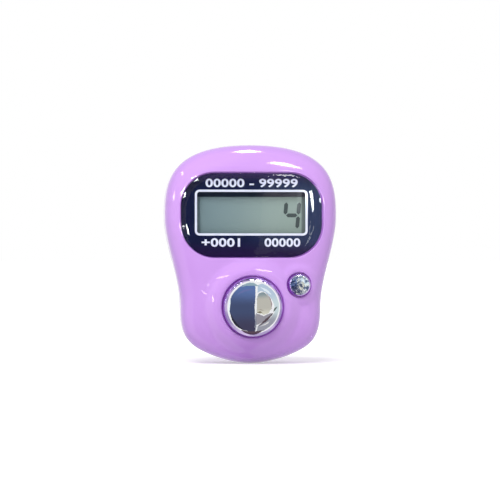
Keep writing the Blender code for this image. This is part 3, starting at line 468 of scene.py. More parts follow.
@dataclass(frozen=True)
class SoftRubber(Finish):
    """Satin moulded rubber: a fine matt grain, with shine where it is handled."""

    def relief_map(self, tree: ShaderTree) -> Socket:
        """Fine grain over wider dimples."""
        dimples = tree.noise(self.grain * 0.3).eased(0.3, 0.8)
        return tree.bump(tree.noise(self.grain) * 0.6 + dimples * 0.4, self.relief)

    def extra(self) -> dict[str, float]:
        """A faint sheen, as soft rubber has at grazing angles."""
        return {"Sheen Weight": 0.08, "Sheen Roughness": 0.4}


@dataclass(frozen=True)
class PrintWithPaintedReflections(Finish):
    """Dark print behind the window, with painted reflections: paler to the right, purple along the top and
    the bottom.

    Args:
        right: painted reflection colour at its right end.
        high: painted reflection colour along the top.
        low: painted reflection colour along the bottom.
    """

    right: Colour = (0.032, 0.046, 0.100)
    high: Colour = (0.062, 0.040, 0.150)
    low: Colour = (0.020, 0.0115, 0.049)

    def colour_map(self, tree: ShaderTree) -> Socket:
        """Painted reflections: slow changes from left to right and towards the top and the bottom.

        Args:
            tree: the material's tree.

        Returns:
            The colour's socket.
        """
        across, level = tree.axis("X"), tree.axis("Z")
        # painted reflections: paler to the right, purple towards the top and the bottom
        base = tree.blend(across.eased(-0.003, 0.010), super().colour_map(tree), self.right)
        base = tree.blend(level.eased(0.0105, 0.0130), base, self.high)
        return tree.blend(level.eased(0.0020, -0.0005), base, self.low)


@dataclass(frozen=True)
class DisplayFace(Finish):
    """The grey-green face of the display: bluer to the left, with a painted reflection that pales it to the
    right, painted shade at its sides and a painted shadow under its frame.

    Args:
        left: colour at the left end.
        right: colour at the right end.
        shade: colour in the shadow under its frame.
        pale: the same at the right end.
        half: half the visible width in metres.
        top: height in the room where the shadow at the top starts.
    """

    left: Colour = (0.210, 0.297, 0.303)
    right: Colour = (0.335, 0.425, 0.37)
    shade: Colour = (0.011, 0.022, 0.035)
    pale: Colour = (0.055, 0.054, 0.078)
    half: float = 0.0084
    top: float = 0.00846

    def colour_map(self, tree: ShaderTree) -> Socket:
        """A slow change from left to right, a painted reflection, with faint clouds, and painted shade
        along the rims and the top.

        Args:
            tree: the material's tree.

        Returns:
            The colour's socket.
        """
        across, level = tree.axis("X"), tree.axis("Z")
        # painted reflection: paler towards the right end
        tint = (across / (2 * self.half) + 0.5 + 0.12 * (tree.noise(self.clouds) - 0.5)).eased(0.0, 1.0)
        base = tree.blend(tint, self.left, self.right)
        # painted shade: dark strips at both ends, and a painted shadow along the top under the frame
        rim = 0.55 * across.eased(self.half - 0.0006, self.half - 0.0004)
        rim = rim.most(0.4 * (-across).eased(self.half - 0.0005, self.half - 0.0003))
        rim = rim.most(level.eased(self.top, self.top + 0.00018))
        shade = tree.blend(across.eased(0.0, 0.004), self.shade, self.pale)
        return tree.blend(rim, base, shade)


@dataclass(frozen=True)
class BoardFinish(Finish):
    """Green board resist over copper tracks, which show a little lighter.

    Args:
        tracks: tracks per metre.
    """

    tracks: float = 700.0

    def colour_map(self, tree: ShaderTree) -> Socket:
        """Tracks as bands between two greens.

        Args:
            tree: the material's tree.

        Returns:
            The colour's socket.
        """
        values = {"Vector": tree.place(), "Scale": self.tracks, "Distortion": 3.0, "Detail": 1.0}
        bands = tree.add("ShaderNodeTexWave", {"wave_type": "BANDS"}, values).outputs["Fac"]
        return tree.blend(Value(tree, bands).eased(0.6, 0.68), self.colour, self.other)


@dataclass(frozen=True)
class ClearGloss(Look):
    """Polished clear plastic: what lies behind shows through, with a mirror gloss over it.

    Args:
        mirror: share of the light that it reflects straight on.
        tint: the colour that shows through.
        gloss: whether the surface reflects at all; the hidden sides only let light through.
    """

    mirror: float = 0.014
    tint: Colour = (0.985, 0.99, 1.0)
    gloss: bool = True

    def shader(self, tree: ShaderTree) -> Node:
        """A clear shader, mixed with a mirror where the surface has gloss.

        Args:
            tree: the material's tree.

        Returns:
            The shader.
        """
        through = tree.add("ShaderNodeBsdfTransparent", values={"Color": self.tint})
        if not self.gloss:
            return through
        smudge = tree.noise(260.0, 4.0).eased(0.45, 0.75)
        waves = tree.bump(tree.noise(300.0, 1.0), 0.000004)
        values = {
            "Base Color": (1.0, 1.0, 1.0),
            "Metallic": 1.0,
            "Roughness": 0.008 + 0.006 * smudge,
            "Normal": waves,
        }
        mirror = tree.add("ShaderNodeBsdfPrincipled", values=values)
        share = self.mirror + (1 - self.mirror) * tree.facing() ** 5.0
        return tree.add("ShaderNodeMixShader", values={0: share, 1: through, 2: mirror})


# every moulded gloss finish, this lilac too, carries painted shade where the surface turns away from the
# eye
LILAC = MouldedGloss("lilac_moulding", (0.660, 0.360, 0.880), (0.640, 0.343, 0.862), roughness=0.12)
# walls of the openings: a more saturated copy of the lilac with a painted glow, painted light in the gaps
# round the window and the buttons
PAINTED_GLOW_LILAC = MouldedGloss(
    "lilac_openings_painted_glow", (0.70, 0.22, 0.90), (0.64, 0.20, 0.85), roughness=0.16, glow=0.14
)
RUBBER = SoftRubber(
    "lilac_soft_rubber", (0.60, 0.335, 0.81), (0.565, 0.305, 0.77), roughness=0.42, spread=0.14,
    grain=2600.0, relief=0.000012,
)
CHROME = PlatedMetal(
    "bright_plating", (0.86, 0.87, 0.89), (0.82, 0.83, 0.86), roughness=0.025, spread=0.05,
    grain=1700.0, relief=0.000009,
)
# rounded edge of the buttons: plating coloured lilac, darker and lighter in clouds, a painted reflection of
# the lilac housing
RIM_PAINTED_REFLECTION = PlatedMetal(
    "rim_plating_painted_reflection", (0.33, 0.26, 0.50), (0.64, 0.51, 0.79), clouds=450.0, roughness=0.05, spread=0.06,
    grain=1700.0, relief=0.000012,
)
# side and flange of the buttons: pale lilac plating, a painted reflection of the lilac walls of the bore
SIDE_PAINTED_REFLECTION = PlatedMetal(
    "side_plating_painted_reflection", (0.90, 0.74, 0.98), (0.84, 0.68, 0.93), roughness=0.45, spread=0.1,
    grain=900.0, relief=0.000006,
)
# reset button cap: hammered plating whose dark and light patches are painted reflections
HAMMERED_PAINTED_REFLECTIONS = PaintedReflectionMetal(
    "hammered_plating_painted_reflections", (0.13, 0.17, 0.31), (0.95, 0.99, 1.0), clouds=1900.0, roughness=0.12,
    spread=0.06, relief=0.00030,
)
STEEL = PlatedMetal(
    "screw_steel", (0.50, 0.51, 0.52), (0.40, 0.40, 0.41), roughness=0.22, spread=0.2,
    grain=2400.0, relief=0.000006,
)
# the dark print, with painted reflections over it
PRINT_DARK_PAINTED_REFLECTIONS = PrintWithPaintedReflections(
    "window_print", (0.0100, 0.0130, 0.044), (0.0110, 0.0140, 0.048), roughness=0.30, relief=0.000001,
    specular=0.0,
)
PRINT_WHITE = Finish(
    "window_print_white", (0.87, 0.91, 1.0), (0.78, 0.82, 0.93), clouds=900.0, roughness=0.35
)
# the display face: painted reflection from left to right, painted shade at its ends and a painted shadow at
# its top
DISPLAY = DisplayFace(
    "display_face", (0.22, 0.31, 0.28), (0.24, 0.33, 0.30), clouds=180.0, roughness=0.35,
    relief=0.0000004, specular=0.2,
)
SEGMENTS = Finish(
    "display_segments", (0.046, 0.067, 0.062), (0.038, 0.056, 0.052), roughness=0.35,
    relief=0.0000004,
)
INTERNAL = {
    "display_film": DISPLAY,
    "glass": Finish("display_glass", (0.55, 0.66, 0.62), (0.50, 0.62, 0.58), roughness=0.08, spread=0.04),
    "grey_rubber": SoftRubber("key_rubber", (0.42, 0.43, 0.44), (0.37, 0.38, 0.39), roughness=0.5),
    "white_foam": Finish(
        "foam_pad", (0.75, 0.75, 0.72), (0.66, 0.65, 0.61), roughness=0.85, grain=3000.0, relief=0.00003
    ),
    "circuit_board": BoardFinish(
        "board_resist", (0.020, 0.16, 0.065), (0.045, 0.27, 0.11), roughness=0.35, spread=0.15
    ),
    "black_resin": Finish("chip_resin", (0.016, 0.016, 0.017), (0.028, 0.027, 0.026), roughness=0.3),
    "ceramic": Finish("chip_ceramic", (0.55, 0.45, 0.32), (0.48, 0.38, 0.26), roughness=0.4),
    "black_rubber": SoftRubber("contact_carbon", (0.025, 0.025, 0.026), (0.04, 0.04, 0.04), roughness=0.6),
    "steel": STEEL,
    "chrome": CHROME,
    "clear_plastic": ClearGloss("clear_window"),
    "black_print": PRINT_DARK_PAINTED_REFLECTIONS,
    "lilac_plastic": LILAC,
    "lilac_rubber": RUBBER,
}


# Lines in the plane of the face


def arc(centre: Sequence[float], radius: float, start: float, stop: float, steps: int) -> list:
    """Points on a circle between two angles, both ends included.

    Args:
        centre: the circle's middle.
        radius: its radius.
        start: first angle in radians, from the first axis.
        stop: last angle.
        steps: how many steps there are between them.

    Returns:
        A list of (first, second) coordinates.
    """
    angles = np.linspace(start, stop, steps + 1)
    return [(centre[0] + radius * math.cos(a), centre[1] + radius * math.sin(a)) for a in angles]


def quarter(steps: int) -> list[float]:
    """Even angles from 0 to 90 degrees, in radians."""
    return [math.pi / 2 * i / steps for i in range(steps + 1)]


def rounding(radius: float, steps: int) -> list[Pair]:
    """Pairs of distance from the wall and distance from the face, over an edge between the two."""
    return [(radius * (1 - math.sin(a)), radius * (1 - math.cos(a))) for a in quarter(steps)]


def circle(centre: Sequence[float], radius: float, count: int) -> Points:
    """Points round a circle, anticlockwise."""
    return np.array(arc(centre, radius, 0.0, math.tau, count)[:-1])


def rounded_rectangle(
    size: Pair, radius: float, centre: Pair, corner: int, side: Sequence[int] = (1, 1)
) -> Points:
    """Points round a rectangle with arcs for corners, anticlockwise.

    Args:
        size: its width and height.
        radius: radius of its corners.
        centre: its middle.
        corner: steps in each corner.
        side: steps along each horizontal and each vertical side.

    Returns:
        Rows of x and y.
    """
    x, y = size[0] / 2 - radius, size[1] / 2 - radius
    middles = [(centre[0] + cx, centre[1] + cy) for cx, cy in ((x, y), (-x, y), (-x, -y), (x, -y))]
    points: list = []
    for turn, middle in enumerate(middles):
        stop = (turn + 1) * math.pi / 2
        points += arc(middle, radius, turn * math.pi / 2, stop, corner)
        last = np.array(points[-1])
        way = arc(middles[(turn + 1) % 4], radius, stop, 0, 1)[0] - last
        steps = side[turn % 2]
        points += [tuple(last + way * (i / steps)) for i in range(1, steps)]
    return np.array(points)


def bezier(start: Points, leave: Points, arrive: Points, stop: Points, steps: int) -> Points:
    """Points along a cubic curve, without its last one.

    Args:
        start: its first point.
        leave: the handle after it.
        arrive: the handle before its last point.
        stop: its last point.
        steps: how many points.

    Returns:
        Rows of x and y.
    """
    t = np.linspace(0, 1, steps, endpoint=False)[:, None]
    ends = (1 - t) ** 3 * np.array(start) + t**3 * np.array(stop)
    return ends + 3 * (1 - t) ** 2 * t * np.array(leave) + 3 * (1 - t) * t**2 * np.array(arrive)


def raised(points: Points, z: Union[float, Points]) -> Points:
    """Rows of x, y and z from rows of x and y, with one height for all or a height for each."""
    return np.column_stack((points, np.broadcast_to(z, len(points))))


def unit(rows: Points) -> Points:
    """Rows brought to length one."""
    return rows / np.linalg.norm(rows, axis=1)[:, None]


def lengths_along(line: Points) -> Points:
    """Distance of each point of a line from its first one, measured along it."""
    return np.concatenate(([0], np.cumsum(np.hypot(*np.diff(line, axis=0).T))))


def inside(points: Points, polygon: Points) -> np.ndarray:
    """Which points lie inside a polygon.

    Args:
        points: rows of x and y.
        polygon: the polygon's corners in order.

    Returns:
        One truth value for each point.
    """
    x, y = points[:, 0:1], points[:, 1:2]
    x1, y1 = polygon[:, 0], polygon[:, 1]
    x2, y2 = np.roll(x1, -1), np.roll(y1, -1)
    crosses = (y1 > y) != (y2 > y)
    rise = np.where(y2 == y1, 1.0, y2 - y1)
    left = x < (x2 - x1) * (y - y1) / rise + x1
    return (crosses & left).sum(axis=1) % 2 == 1


def within(points: Points, polygons: Sequence[Points]) -> np.ndarray:
    """Which points lie inside the first polygon and in none of the others."""
    held = [inside(points, polygon) for polygon in polygons]
    return held[0] & ~np.any(held[1:], axis=0)


# Meshes


class Surface:
    """Gathers the points and faces of one piece in the face frame, then makes its object."""

    def __init__(self) -> None:
        """Start with nothing."""
        self.points: list[tuple[float, float, float]] = []
        self.faces: list[tuple[int, ...]] = []
        self.finish: list[int] = []

    def ring(self, points: Rows) -> list[int]:
        """Add a row of points.

        Args:
            points: rows of x, y and z.

        Returns:
            Their numbers.
        """
        first = len(self.points)
        self.points += [tuple(float(v) for v in p) for p in points]
        return list(range(first, len(self.points)))

    def face(self, corners: Sequence[int], finish: int = 0) -> None:
        """Add one face with the number of its finish."""
        self.faces.append(tuple(corners))
        self.finish.append(finish)

    def band(self, lower: Sequence[int], upper: Sequence[int], finish: int = 0) -> None:
        """Join two closed rings of equally many points.

        Args:
            lower: numbers of the points of one ring.
            upper: numbers of the points of the other.
            finish: number of the band's finish.
        """
        count = len(lower)
        for i in range(count):
            j = (i + 1) % count
            self.face((lower[i], lower[j], upper[j], upper[i]), finish)

    def bands(self, rings: Sequence[Rows], finish: int = 0) -> list[list[int]]:
        """Add rings of points and join each to the next.

        Args:
            rings: the rings' points.
            finish: number of the bands' finish.

        Returns:
            The numbers of each ring's points.
        """
        made = [self.ring(points) for points in rings]
        for lower, upper in zip(made, made[1:]):
            self.band(lower, upper, finish)
        return made

    def block(self, rings: Sequence[Rows]) -> None:
        """Add rings of points, join each to the next, and close both ends.

        Args:
            rings: the rings' points.
        """
        made = self.bands(rings)
        self.face(made[0])
        self.face(made[-1])

    def patch(
        self,
        outer: Sequence[int],
        holes: Sequence[Sequence[int]],
        spacing: float,
        height: Callable[[Points], Union[float, Points]],
    ) -> None:
        """Fill the room between a ring and the holes in it with a fine even net.

        Args:
            outer: numbers of the points of the ring round it.
            holes: numbers of the points of each ring inside it.
            spacing: distance between the net's points.
            height: gives the height of rows of x and y.
        """
        rings = [outer, *holes]
        known = [index for ring in rings for index in ring]
        polygons = [np.array(self.points)[ring, :2] for ring in rings]
        flat = np.vstack(polygons)
        low, high = polygons[0].min(axis=0), polygons[0].max(axis=0)
        row = spacing * math.sqrt(3) / 2
        net = []
        for j in range(int((high[1] - low[1]) / row) + 1):
            shift = spacing / 2 * (j % 2)
            for i in range(int((high[0] - low[0]) / spacing) + 1):
                net.append((low[0] + shift + i * spacing, low[1] + (j + 0.5) * row))
        net = np.array(net)
        net = net[within(net, polygons)]
        near = np.array([np.min(np.hypot(*(flat - point).T)) for point in net])
        net = net[near > spacing * 0.6]
        numbers = known + (self.ring(raised(net, height(net))) if len(net) else [])
        corners = [Vector(p) for p in (*flat, *net)]
        edges, start = [], 0
        for ring in rings:
            edges += [(start + i, start + (i + 1) % len(ring)) for i in range(len(ring))]
            start += len(ring)
        result = geometry.delaunay_2d_cdt(corners, edges, [], 0, 1e-7)
        made, triangles, origin = result[0], result[2], result[3]
        centres = np.array([np.mean([made[i][:] for i in face], axis=0) for face in triangles])
        for face, kept in zip(triangles, within(centres, polygons)):
            if kept and all(origin[i] for i in face):
                self.face([numbers[origin[i][0]] for i in face])

    def turned(
        self, profile: Sequence[Pair], centre: Pair, count: int, changes: Sequence[int] = ()
    ) -> None:
        """Turn a profile about an axis that stands on the face.

        Args:
            profile: pairs of radius and height in order; a radius of zero is a pole.
            centre: place of the axis, as x and y.
            count: how many steps round.
            changes: numbers of the bands from which its next finish is used.
        """
        rings = []
        for radius, height in profile:
            pole = radius < 1e-9
            points = np.array([centre]) if pole else circle(centre, radius, count)
            rings.append(self.ring(raised(points, height)) * (count if pole else 1))
        for number, (lower, upper) in enumerate(zip(rings, rings[1:])):
            finish = sum(number >= change for change in changes)
            for i in range(count):
                j = (i + 1) % count
                corners = list(dict.fromkeys((lower[i], lower[j], upper[j], upper[i])))
                if len(corners) > 2:
                    self.face(corners, finish)

    def build(
        self, name: str, finishes: Sequence[Look], sharp: float = 35.0, outward: float = 0.0
    ) -> Object:
        """Make the object.

        Args:
            name: the object's name.
            finishes: its finishes in the order of their numbers.
            sharp: angle in degrees over which an edge is shaded sharp.
            outward: for an open surface, 1 if it faces out of the face on the whole, else -1.

        Returns:
            The new object, in the room and in metres.
        """
        mesh = bpy.data.meshes.new(name)
        mesh.from_pydata(FACE.place(self.points).tolist(), [], self.faces)
        for polygon, number in zip(mesh.polygons, self.finish):
            polygon.material_index = number
        net = bmesh.new()
        net.from_mesh(mesh)
        bmesh.ops.remove_doubles(net, verts=net.verts, dist=1e-9)
        bmesh.ops.recalc_face_normals(net, faces=net.faces)
        facing = sum((-face.normal.y * face.calc_area() for face in net.faces), 0.0)
        if outward and facing * outward < 0:
            bmesh.ops.reverse_faces(net, faces=net.faces)
        net.to_mesh(mesh)
        net.free()
        for finish in finishes:
            mesh.materials.append(finish.material())
        mesh.shade_smooth()
        mesh.set_sharp_from_angle(angle=math.radians(sharp))
        return show(name, mesh)


def show(name: str, data: bpy.types.ID) -> Object:
    """Put data in the scene as a new object.

    Args:
        name: the object's name.
        data: its mesh, curve, light or camera.

    Returns:
        The new object.
    """
    made = bpy.data.objects.new(name, data)
    bpy.context.scene.collection.objects.link(made)
    return made


def evaluated(source: Object) -> bpy.types.Mesh:
    """A new mesh of an object as it is shown, modifiers and all."""
    bpy.context.view_layer.update()
    return bpy.data.meshes.new_from_object(source.evaluated_get(bpy.context.evaluated_depsgraph_get()))


def carve(target: Object, tools: Sequence[Object], sharp: float = 35.0) -> None:
    """Cut tools out of an object for good and throw them away.

    Args:
        target: the object that is cut.
        tools: closed objects that are taken out of it.
        sharp: angle in degrees over which its edges are shaded sharp afterwards.
    """
    for tool in tools:
        step = target.modifiers.new(tool.name, "BOOLEAN")
        step.operation = "DIFFERENCE"
        step.solver = "EXACT"
        step.object = tool
    settle(target, sharp)
    for tool in tools:
        bpy.data.objects.remove(tool)


def settle(target: Object, sharp: float = 35.0) -> None:
    """Make an object's modifiers part of its mesh.

    Args:
        target: the object.
        sharp: angle in degrees over which its edges are shaded sharp.
    """
    mesh = evaluated(target)
    target.modifiers.clear()
    target.data = mesh
    mesh.name = target.name
    mesh.shade_smooth()
    mesh.set_sharp_from_angle(angle=math.radians(sharp))


class Body(Enum):
    """The bodies that pieces ride on."""

    HOUSING = "housing"
    COUNT = "count_button"
    RESET = "reset_button"


class SubAssembly:
    """Common part of the sub-assemblies: puts each piece on its body and reports it."""

    @staticmethod
    def mount(piece: Object, body: Body, slot: str, nodes: Sequence[str] = ()) -> None:
        """Fix a piece to its body and report it.

        Args:
            piece: the new piece.
            body: the body that it rides on.
            slot: the record's material slot for the piece; not used.
            nodes: the plain nodes that it stands for.
        """
        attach(piece, body.value)
        if nodes:
            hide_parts(*nodes)
        log.info("%s: %d faces, rides on %s", piece.name, len(piece.data.polygons), body.value)


# Shape of the housing


@dataclass(frozen=True)
class Mound:
    """A round rise of the face with a button in its middle, in mm.

    Args:
        middle: its middle.
        rim: radius of its flat top.
        run: how far it takes to sink to the face.
        height: how high it stands.
    """

    middle: Pair
    rim: float
    run: float
    height: float

    def away(self, points: Points) -> Points:
        """Distance of rows of x and y from its middle."""
        return np.hypot(points[:, 0] - self.middle[0], points[:, 1] - self.middle[1])

    def rise(self, points: Points) -> Points:
        """How much it lifts rows of x and y."""
        t = np.clip((self.away(points) - self.rim) / self.run, 0, 1)
        return self.height * (1 + np.cos(math.pi * t)) / 2


@dataclass(frozen=True)
class BodyShape:
    """Outline of the housing from the front and height of its face, in mm.

    Args:
        height: its height.
        head_width: its width at the head.
        head_level: height where the head is widest.
        crown_reach: length of the curve's handle at the crown.
        shoulder_reach: the same over the head.
        chin_width: its width at the chin.
        chin_level: height where the chin is widest.
        neck_reach: the same under the head.
        waist_reach: the same over the chin.
        jaw_reach: the same under the chin.
        jaw_inset: how far in the jaw's corner lies.
        jaw_level: height of that corner.
        jaw_ease: the same at that corner and at the foot.
        jaw_slope: slope of the outline at the corner, in degrees.
        side: height where the straight sides end.
        depth: height of the dome's middle.
        power: how squarely the dome bends, where 2 is an ellipse.
        middle: how far up the face the dome's middle lies.
        count_mound: the rise round the count button.
        reset_mound: the rise round the reset button.
        steps: steps round the outline.
    """

    height: float = 34.2
    head_width: float = 26.9
    head_level: float = 23.0
    crown_reach: float = 12.9
    shoulder_reach: float = 5.3
    chin_width: float = 22.0
    chin_level: float = 9.1
    neck_reach: float = 4.1
    waist_reach: float = 4.1
    jaw_reach: float = 3.2
    jaw_inset: float = 2.5
    jaw_level: float = 2.5
    jaw_ease: float = 2.5
    jaw_slope: float = 32.5
    side: float = 3.4
    depth: float = 7.6
    power: float = 7.0
    middle: float = 17.8
    count_mound: Mound = Mound((0.0, 9.0), 5.25, 2.7, 1.2)
    reset_mound: Mound = Mound((7.247, 12.364), 2.38, 1.2, 0.35)
    steps: int = 264

    def drawn(self, steps: int) -> Points:
        """The outline with uneven steps, anticlockwise from the crown.

        Args:
            steps: points in each of its longer curves.

        Returns:
            Rows of x and y.
        """
        crown = np.array((0.0, self.height))
        temple = np.array((self.head_width / 2, self.head_level))
        cheek = np.array((self.chin_width / 2, self.chin_level))
        jaw = np.array((self.chin_width / 2 - self.jaw_inset, self.jaw_level))
        slope = math.radians(self.jaw_slope)
        along = np.array((math.cos(slope), math.sin(slope))) * self.jaw_ease
        curves = (
            (crown, crown + (self.crown_reach, 0), temple + (0, self.shoulder_reach), temple),
            (temple, temple - (0, self.neck_reach), cheek + (0, self.waist_reach), cheek),
            (cheek, cheek - (0, self.jaw_reach), jaw + along, jaw),
            (jaw, jaw - along, (self.jaw_ease, 0.0), (0.0, 0.0)),
        )
        right = np.vstack([bezier(*curve, steps) for curve in curves] + [np.zeros((1, 2))])
        left = right[-2:0:-1] * (-1, 1)
        return np.vstack((right, left))[::-1]

    def outline(self, inset: float = 0.0) -> Points:
        """The outline with even steps, moved in by an even distance.

        Args:
            inset: how far it is moved in.

        Returns:
            Rows of x and y, anticlockwise.
        """
        points = self.drawn(60)
        closed = np.vstack((points, points[:1]))
        lengths = lengths_along(closed)
        places = np.linspace(0, lengths[-1], self.steps, endpoint=False)
        even = np.column_stack([np.interp(places, lengths, closed[:, i]) for i in (0, 1)])
        step = np.roll(even, -1, axis=0) - np.roll(even, 1, axis=0)
        return even - unit(np.column_stack((step[:, 1], -step[:, 0]))) * inset

    @cached_property
    def spokes(self) -> tuple[Points, Points]:
        """Angle and length of spokes from the dome's middle to the outline.

        Returns:
            The angles in rising order, and the lengths.
        """
        reach = self.drawn(200) - (0, self.middle)
        angle = np.arctan2(reach[:, 0], reach[:, 1])
        order = np.argsort(angle)
        return angle[order], np.hypot(*reach.T)[order]

    def inset(self, points: Points) -> Points:
        """How far inside the outline rows of x and y lie.

        Args:
            points: rows of x and y.

        Returns:
            Their distances from the outline.
        """
        ring = self.drawn(40)
        step = np.roll(ring, -1, axis=0) - ring
        away = points[:, None] - ring
        along = ((away * step).sum(axis=2) / (step**2).sum(axis=1)).clip(0, 1)
        return np.linalg.norm(away - along[..., None] * step, axis=2).min(axis=1)

    def share(self, points: Points) -> Points:
        """How far points lie from the dome's middle, as a share of the way to the outline.

        Args:
            points: rows of x and y.

        Returns:
            Shares from 0 in the middle to 1 at the outline.
        """
        reach = points - (0, self.middle)
        angles, lengths = self.spokes
        outline = np.interp(np.arctan2(reach[:, 0], reach[:, 1]), angles, lengths, period=math.tau)
        return np.hypot(*reach.T) / outline

    def crown(self, points: Points) -> Points:
        """Height of the plain dome at rows of x and y."""
        rest = 1 - np.clip(self.share(points), 0, 1) ** self.power
        return self.side + (self.depth - self.side) * np.sqrt(rest)

    def face(self, points: Points) -> Points:
        """Height of the face with its mounds at rows of x and y."""
        count, reset = self.count_mound.rise(points), self.reset_mound.rise(points)
        return self.crown(points) + (count**4 + reset**4) ** 0.25


BODY = BodyShape()


@dataclass(frozen=True)
class WindowShape:
    """Outline and rounded outside of the clear window, in mm.

    Args:
        width: its width.
        height: its height up the face.
        corner: radius of its corners.
        level: height of its middle above the chin.
        gap: space round it in its pocket.
        seat: height of the pocket's floor.
        proud: how far its middle stands over the crown of the housing.
        pillow: width and radius of its rounded border.
        body: the housing, whose crown it follows.
    """

    width: float = 22.0
    height: float = 13.1
    corner: float = 5.2
    level: float = 23.2
    gap: float = 0.1
    seat: float = 5.7
    proud: float = 0.45
    pillow: Pair = (1.6, 3.4)
    body: BodyShape = BODY

    def outline(self, grow: float = 0.0) -> Points:
        """The window's outline, made larger all round by grow."""
        size = (self.width + 2 * grow, self.height + 2 * grow)
        return rounded_rectangle(size, self.corner + grow, (0.0, self.level), 20, (28, 7))

    def pocket(self, grow: float) -> Points:
        """Outline of its pocket in the housing, made larger by grow."""
        return self.outline(self.gap + grow)

    def inset(self, points: Points) -> Points:
        """How far inside the outline rows of x and y lie.

        Args:
            points: rows of x and y.

        Returns:
            Their distances from the outline.
        """
        straight = (self.width / 2 - self.corner, self.height / 2 - self.corner)
        reach = np.abs(points - (0, self.level)) - straight
        beyond = np.hypot(*np.maximum(reach, 0).T)
        return self.corner - beyond - np.minimum(reach.max(axis=1), 0)

    def top(self, points: Points) -> Points:
        """Height of the outside at rows of x and y.

        Args:
            points: rows of x and y.

        Returns:
            Their heights.
        """
        width, radius = self.pillow
        away = np.clip(width - self.inset(points), 0, width)
        drop = radius - np.sqrt(radius**2 - away**2)
        return self.body.crown(points) + self.proud - drop


@dataclass(frozen=True)
class ButtonShape:
    """A push button and the bore that it slides in, in mm.

    Args:
        radius: its radius.
        mound: the rise of the face that it stands in.
        rise: how far its straight side stands over the mound.
        cap_radius: radius of the ball that its cap is a piece of.
        edge: radius of its rounded edge, which runs on from the cap.
        gap: space round it in its bore.
        fillet: radius of the bore's rounded rim.
        flange: how far the flange that holds it in stands out.
        flange_top: height of the flange's outside.
        flange_low: height of the flange's inside.
        collar_low: height where the bore ends.
        bore_steps: steps round the bore.
        cap_steps: steps from the cap's middle to its rounded edge.
        edge_steps: steps over that edge.
        body: the housing that it stands in.
    """

    radius: float
    mound: Mound
    rise: float
    cap_radius: float
    edge: float
    gap: float = 0.18
    fillet: float = 0.28
    flange: float = 0.4
    flange_top: float = 5.55
    flange_low: float = 4.85
    collar_low: float = 5.65
    bore_steps: int = 96
    cap_steps: int = 20
    edge_steps: int = 14
    body: BodyShape = BODY

    def bore(self, grow: float) -> Points:
        """Outline of its bore, made larger by grow."""
        return circle(self.mound.middle, self.radius + self.gap + grow, self.bore_steps)

    @property
    def rim(self) -> float:
        """Height where the button's rounded edge ends."""
        return float(self.body.crown(np.array([self.mound.middle]))[0]) + self.mound.height + self.rise

    @property
    def tilt(self) -> float:
        """Slope where the cap runs into the rounded edge, in radians."""
        return math.asin((self.radius - self.edge) / (self.cap_radius - self.edge))

    @property
    def middle(self) -> float:
        """Height of the middle of the ball that the cap is a piece of."""
        return self.rim - (self.cap_radius - self.edge) * math.cos(self.tilt)

    def top(self, points: Points) -> Points:
        """Height of the cap and its rounded edge at rows of x and y.

        Args:
            points: rows of x and y.

        Returns:
            Their heights.
        """
        away = self.mound.away(points)
        cap = self.middle + np.sqrt(np.maximum(self.cap_radius**2 - away**2, 0.0))
        beyond = np.clip(away - self.radius + self.edge, 0.0, self.edge)
        border = self.rim + np.sqrt(self.edge**2 - beyond**2)
        return np.where(away < self.cap_radius * math.sin(self.tilt), cap, border)

    def profile(self) -> list[Pair]:
        """Radius and height down the button: a cap, a rounded edge, the side and a flange.

        Returns:
            Pairs of radius and height from the apex down.
        """
        reach, shoulder = self.cap_radius, self.radius - self.edge
        points = []
        for a in np.linspace(0.0, self.tilt, self.cap_steps):
            points.append((reach * math.sin(a), self.middle + reach * math.cos(a)))
        for a in np.linspace(self.tilt, math.pi / 2, self.edge_steps + 2)[1:]:
            points.append((shoulder + self.edge * math.sin(a), self.rim + self.edge * math.cos(a)))
        wide = self.radius + self.gap + self.flange
        points += [(self.radius, self.flange_top), (wide, self.flange_top)]
        return points + [(wide, self.flange_low), (0.0, self.flange_low)]


WINDOW = WindowShape()
COUNT_BUTTON = ButtonShape(4.62, BODY.count_mound, 0.25, 6.2, 1.75)
RESET_BUTTON = ButtonShape(1.75, BODY.reset_mound, 0.15, 2.4, 0.7, fillet=0.2, bore_steps=56)

# Places that the covers share with the screws and the strap, in mm
SCREW_PLACES = ((0.0, 30.6), (-6.2, 5.4), (6.2, 5.4))
SCREW_SEAT = 3.1
STRAP_LEVEL = FACE.level
STRAP_DEPTH = 5.9


# Sub-assemblies


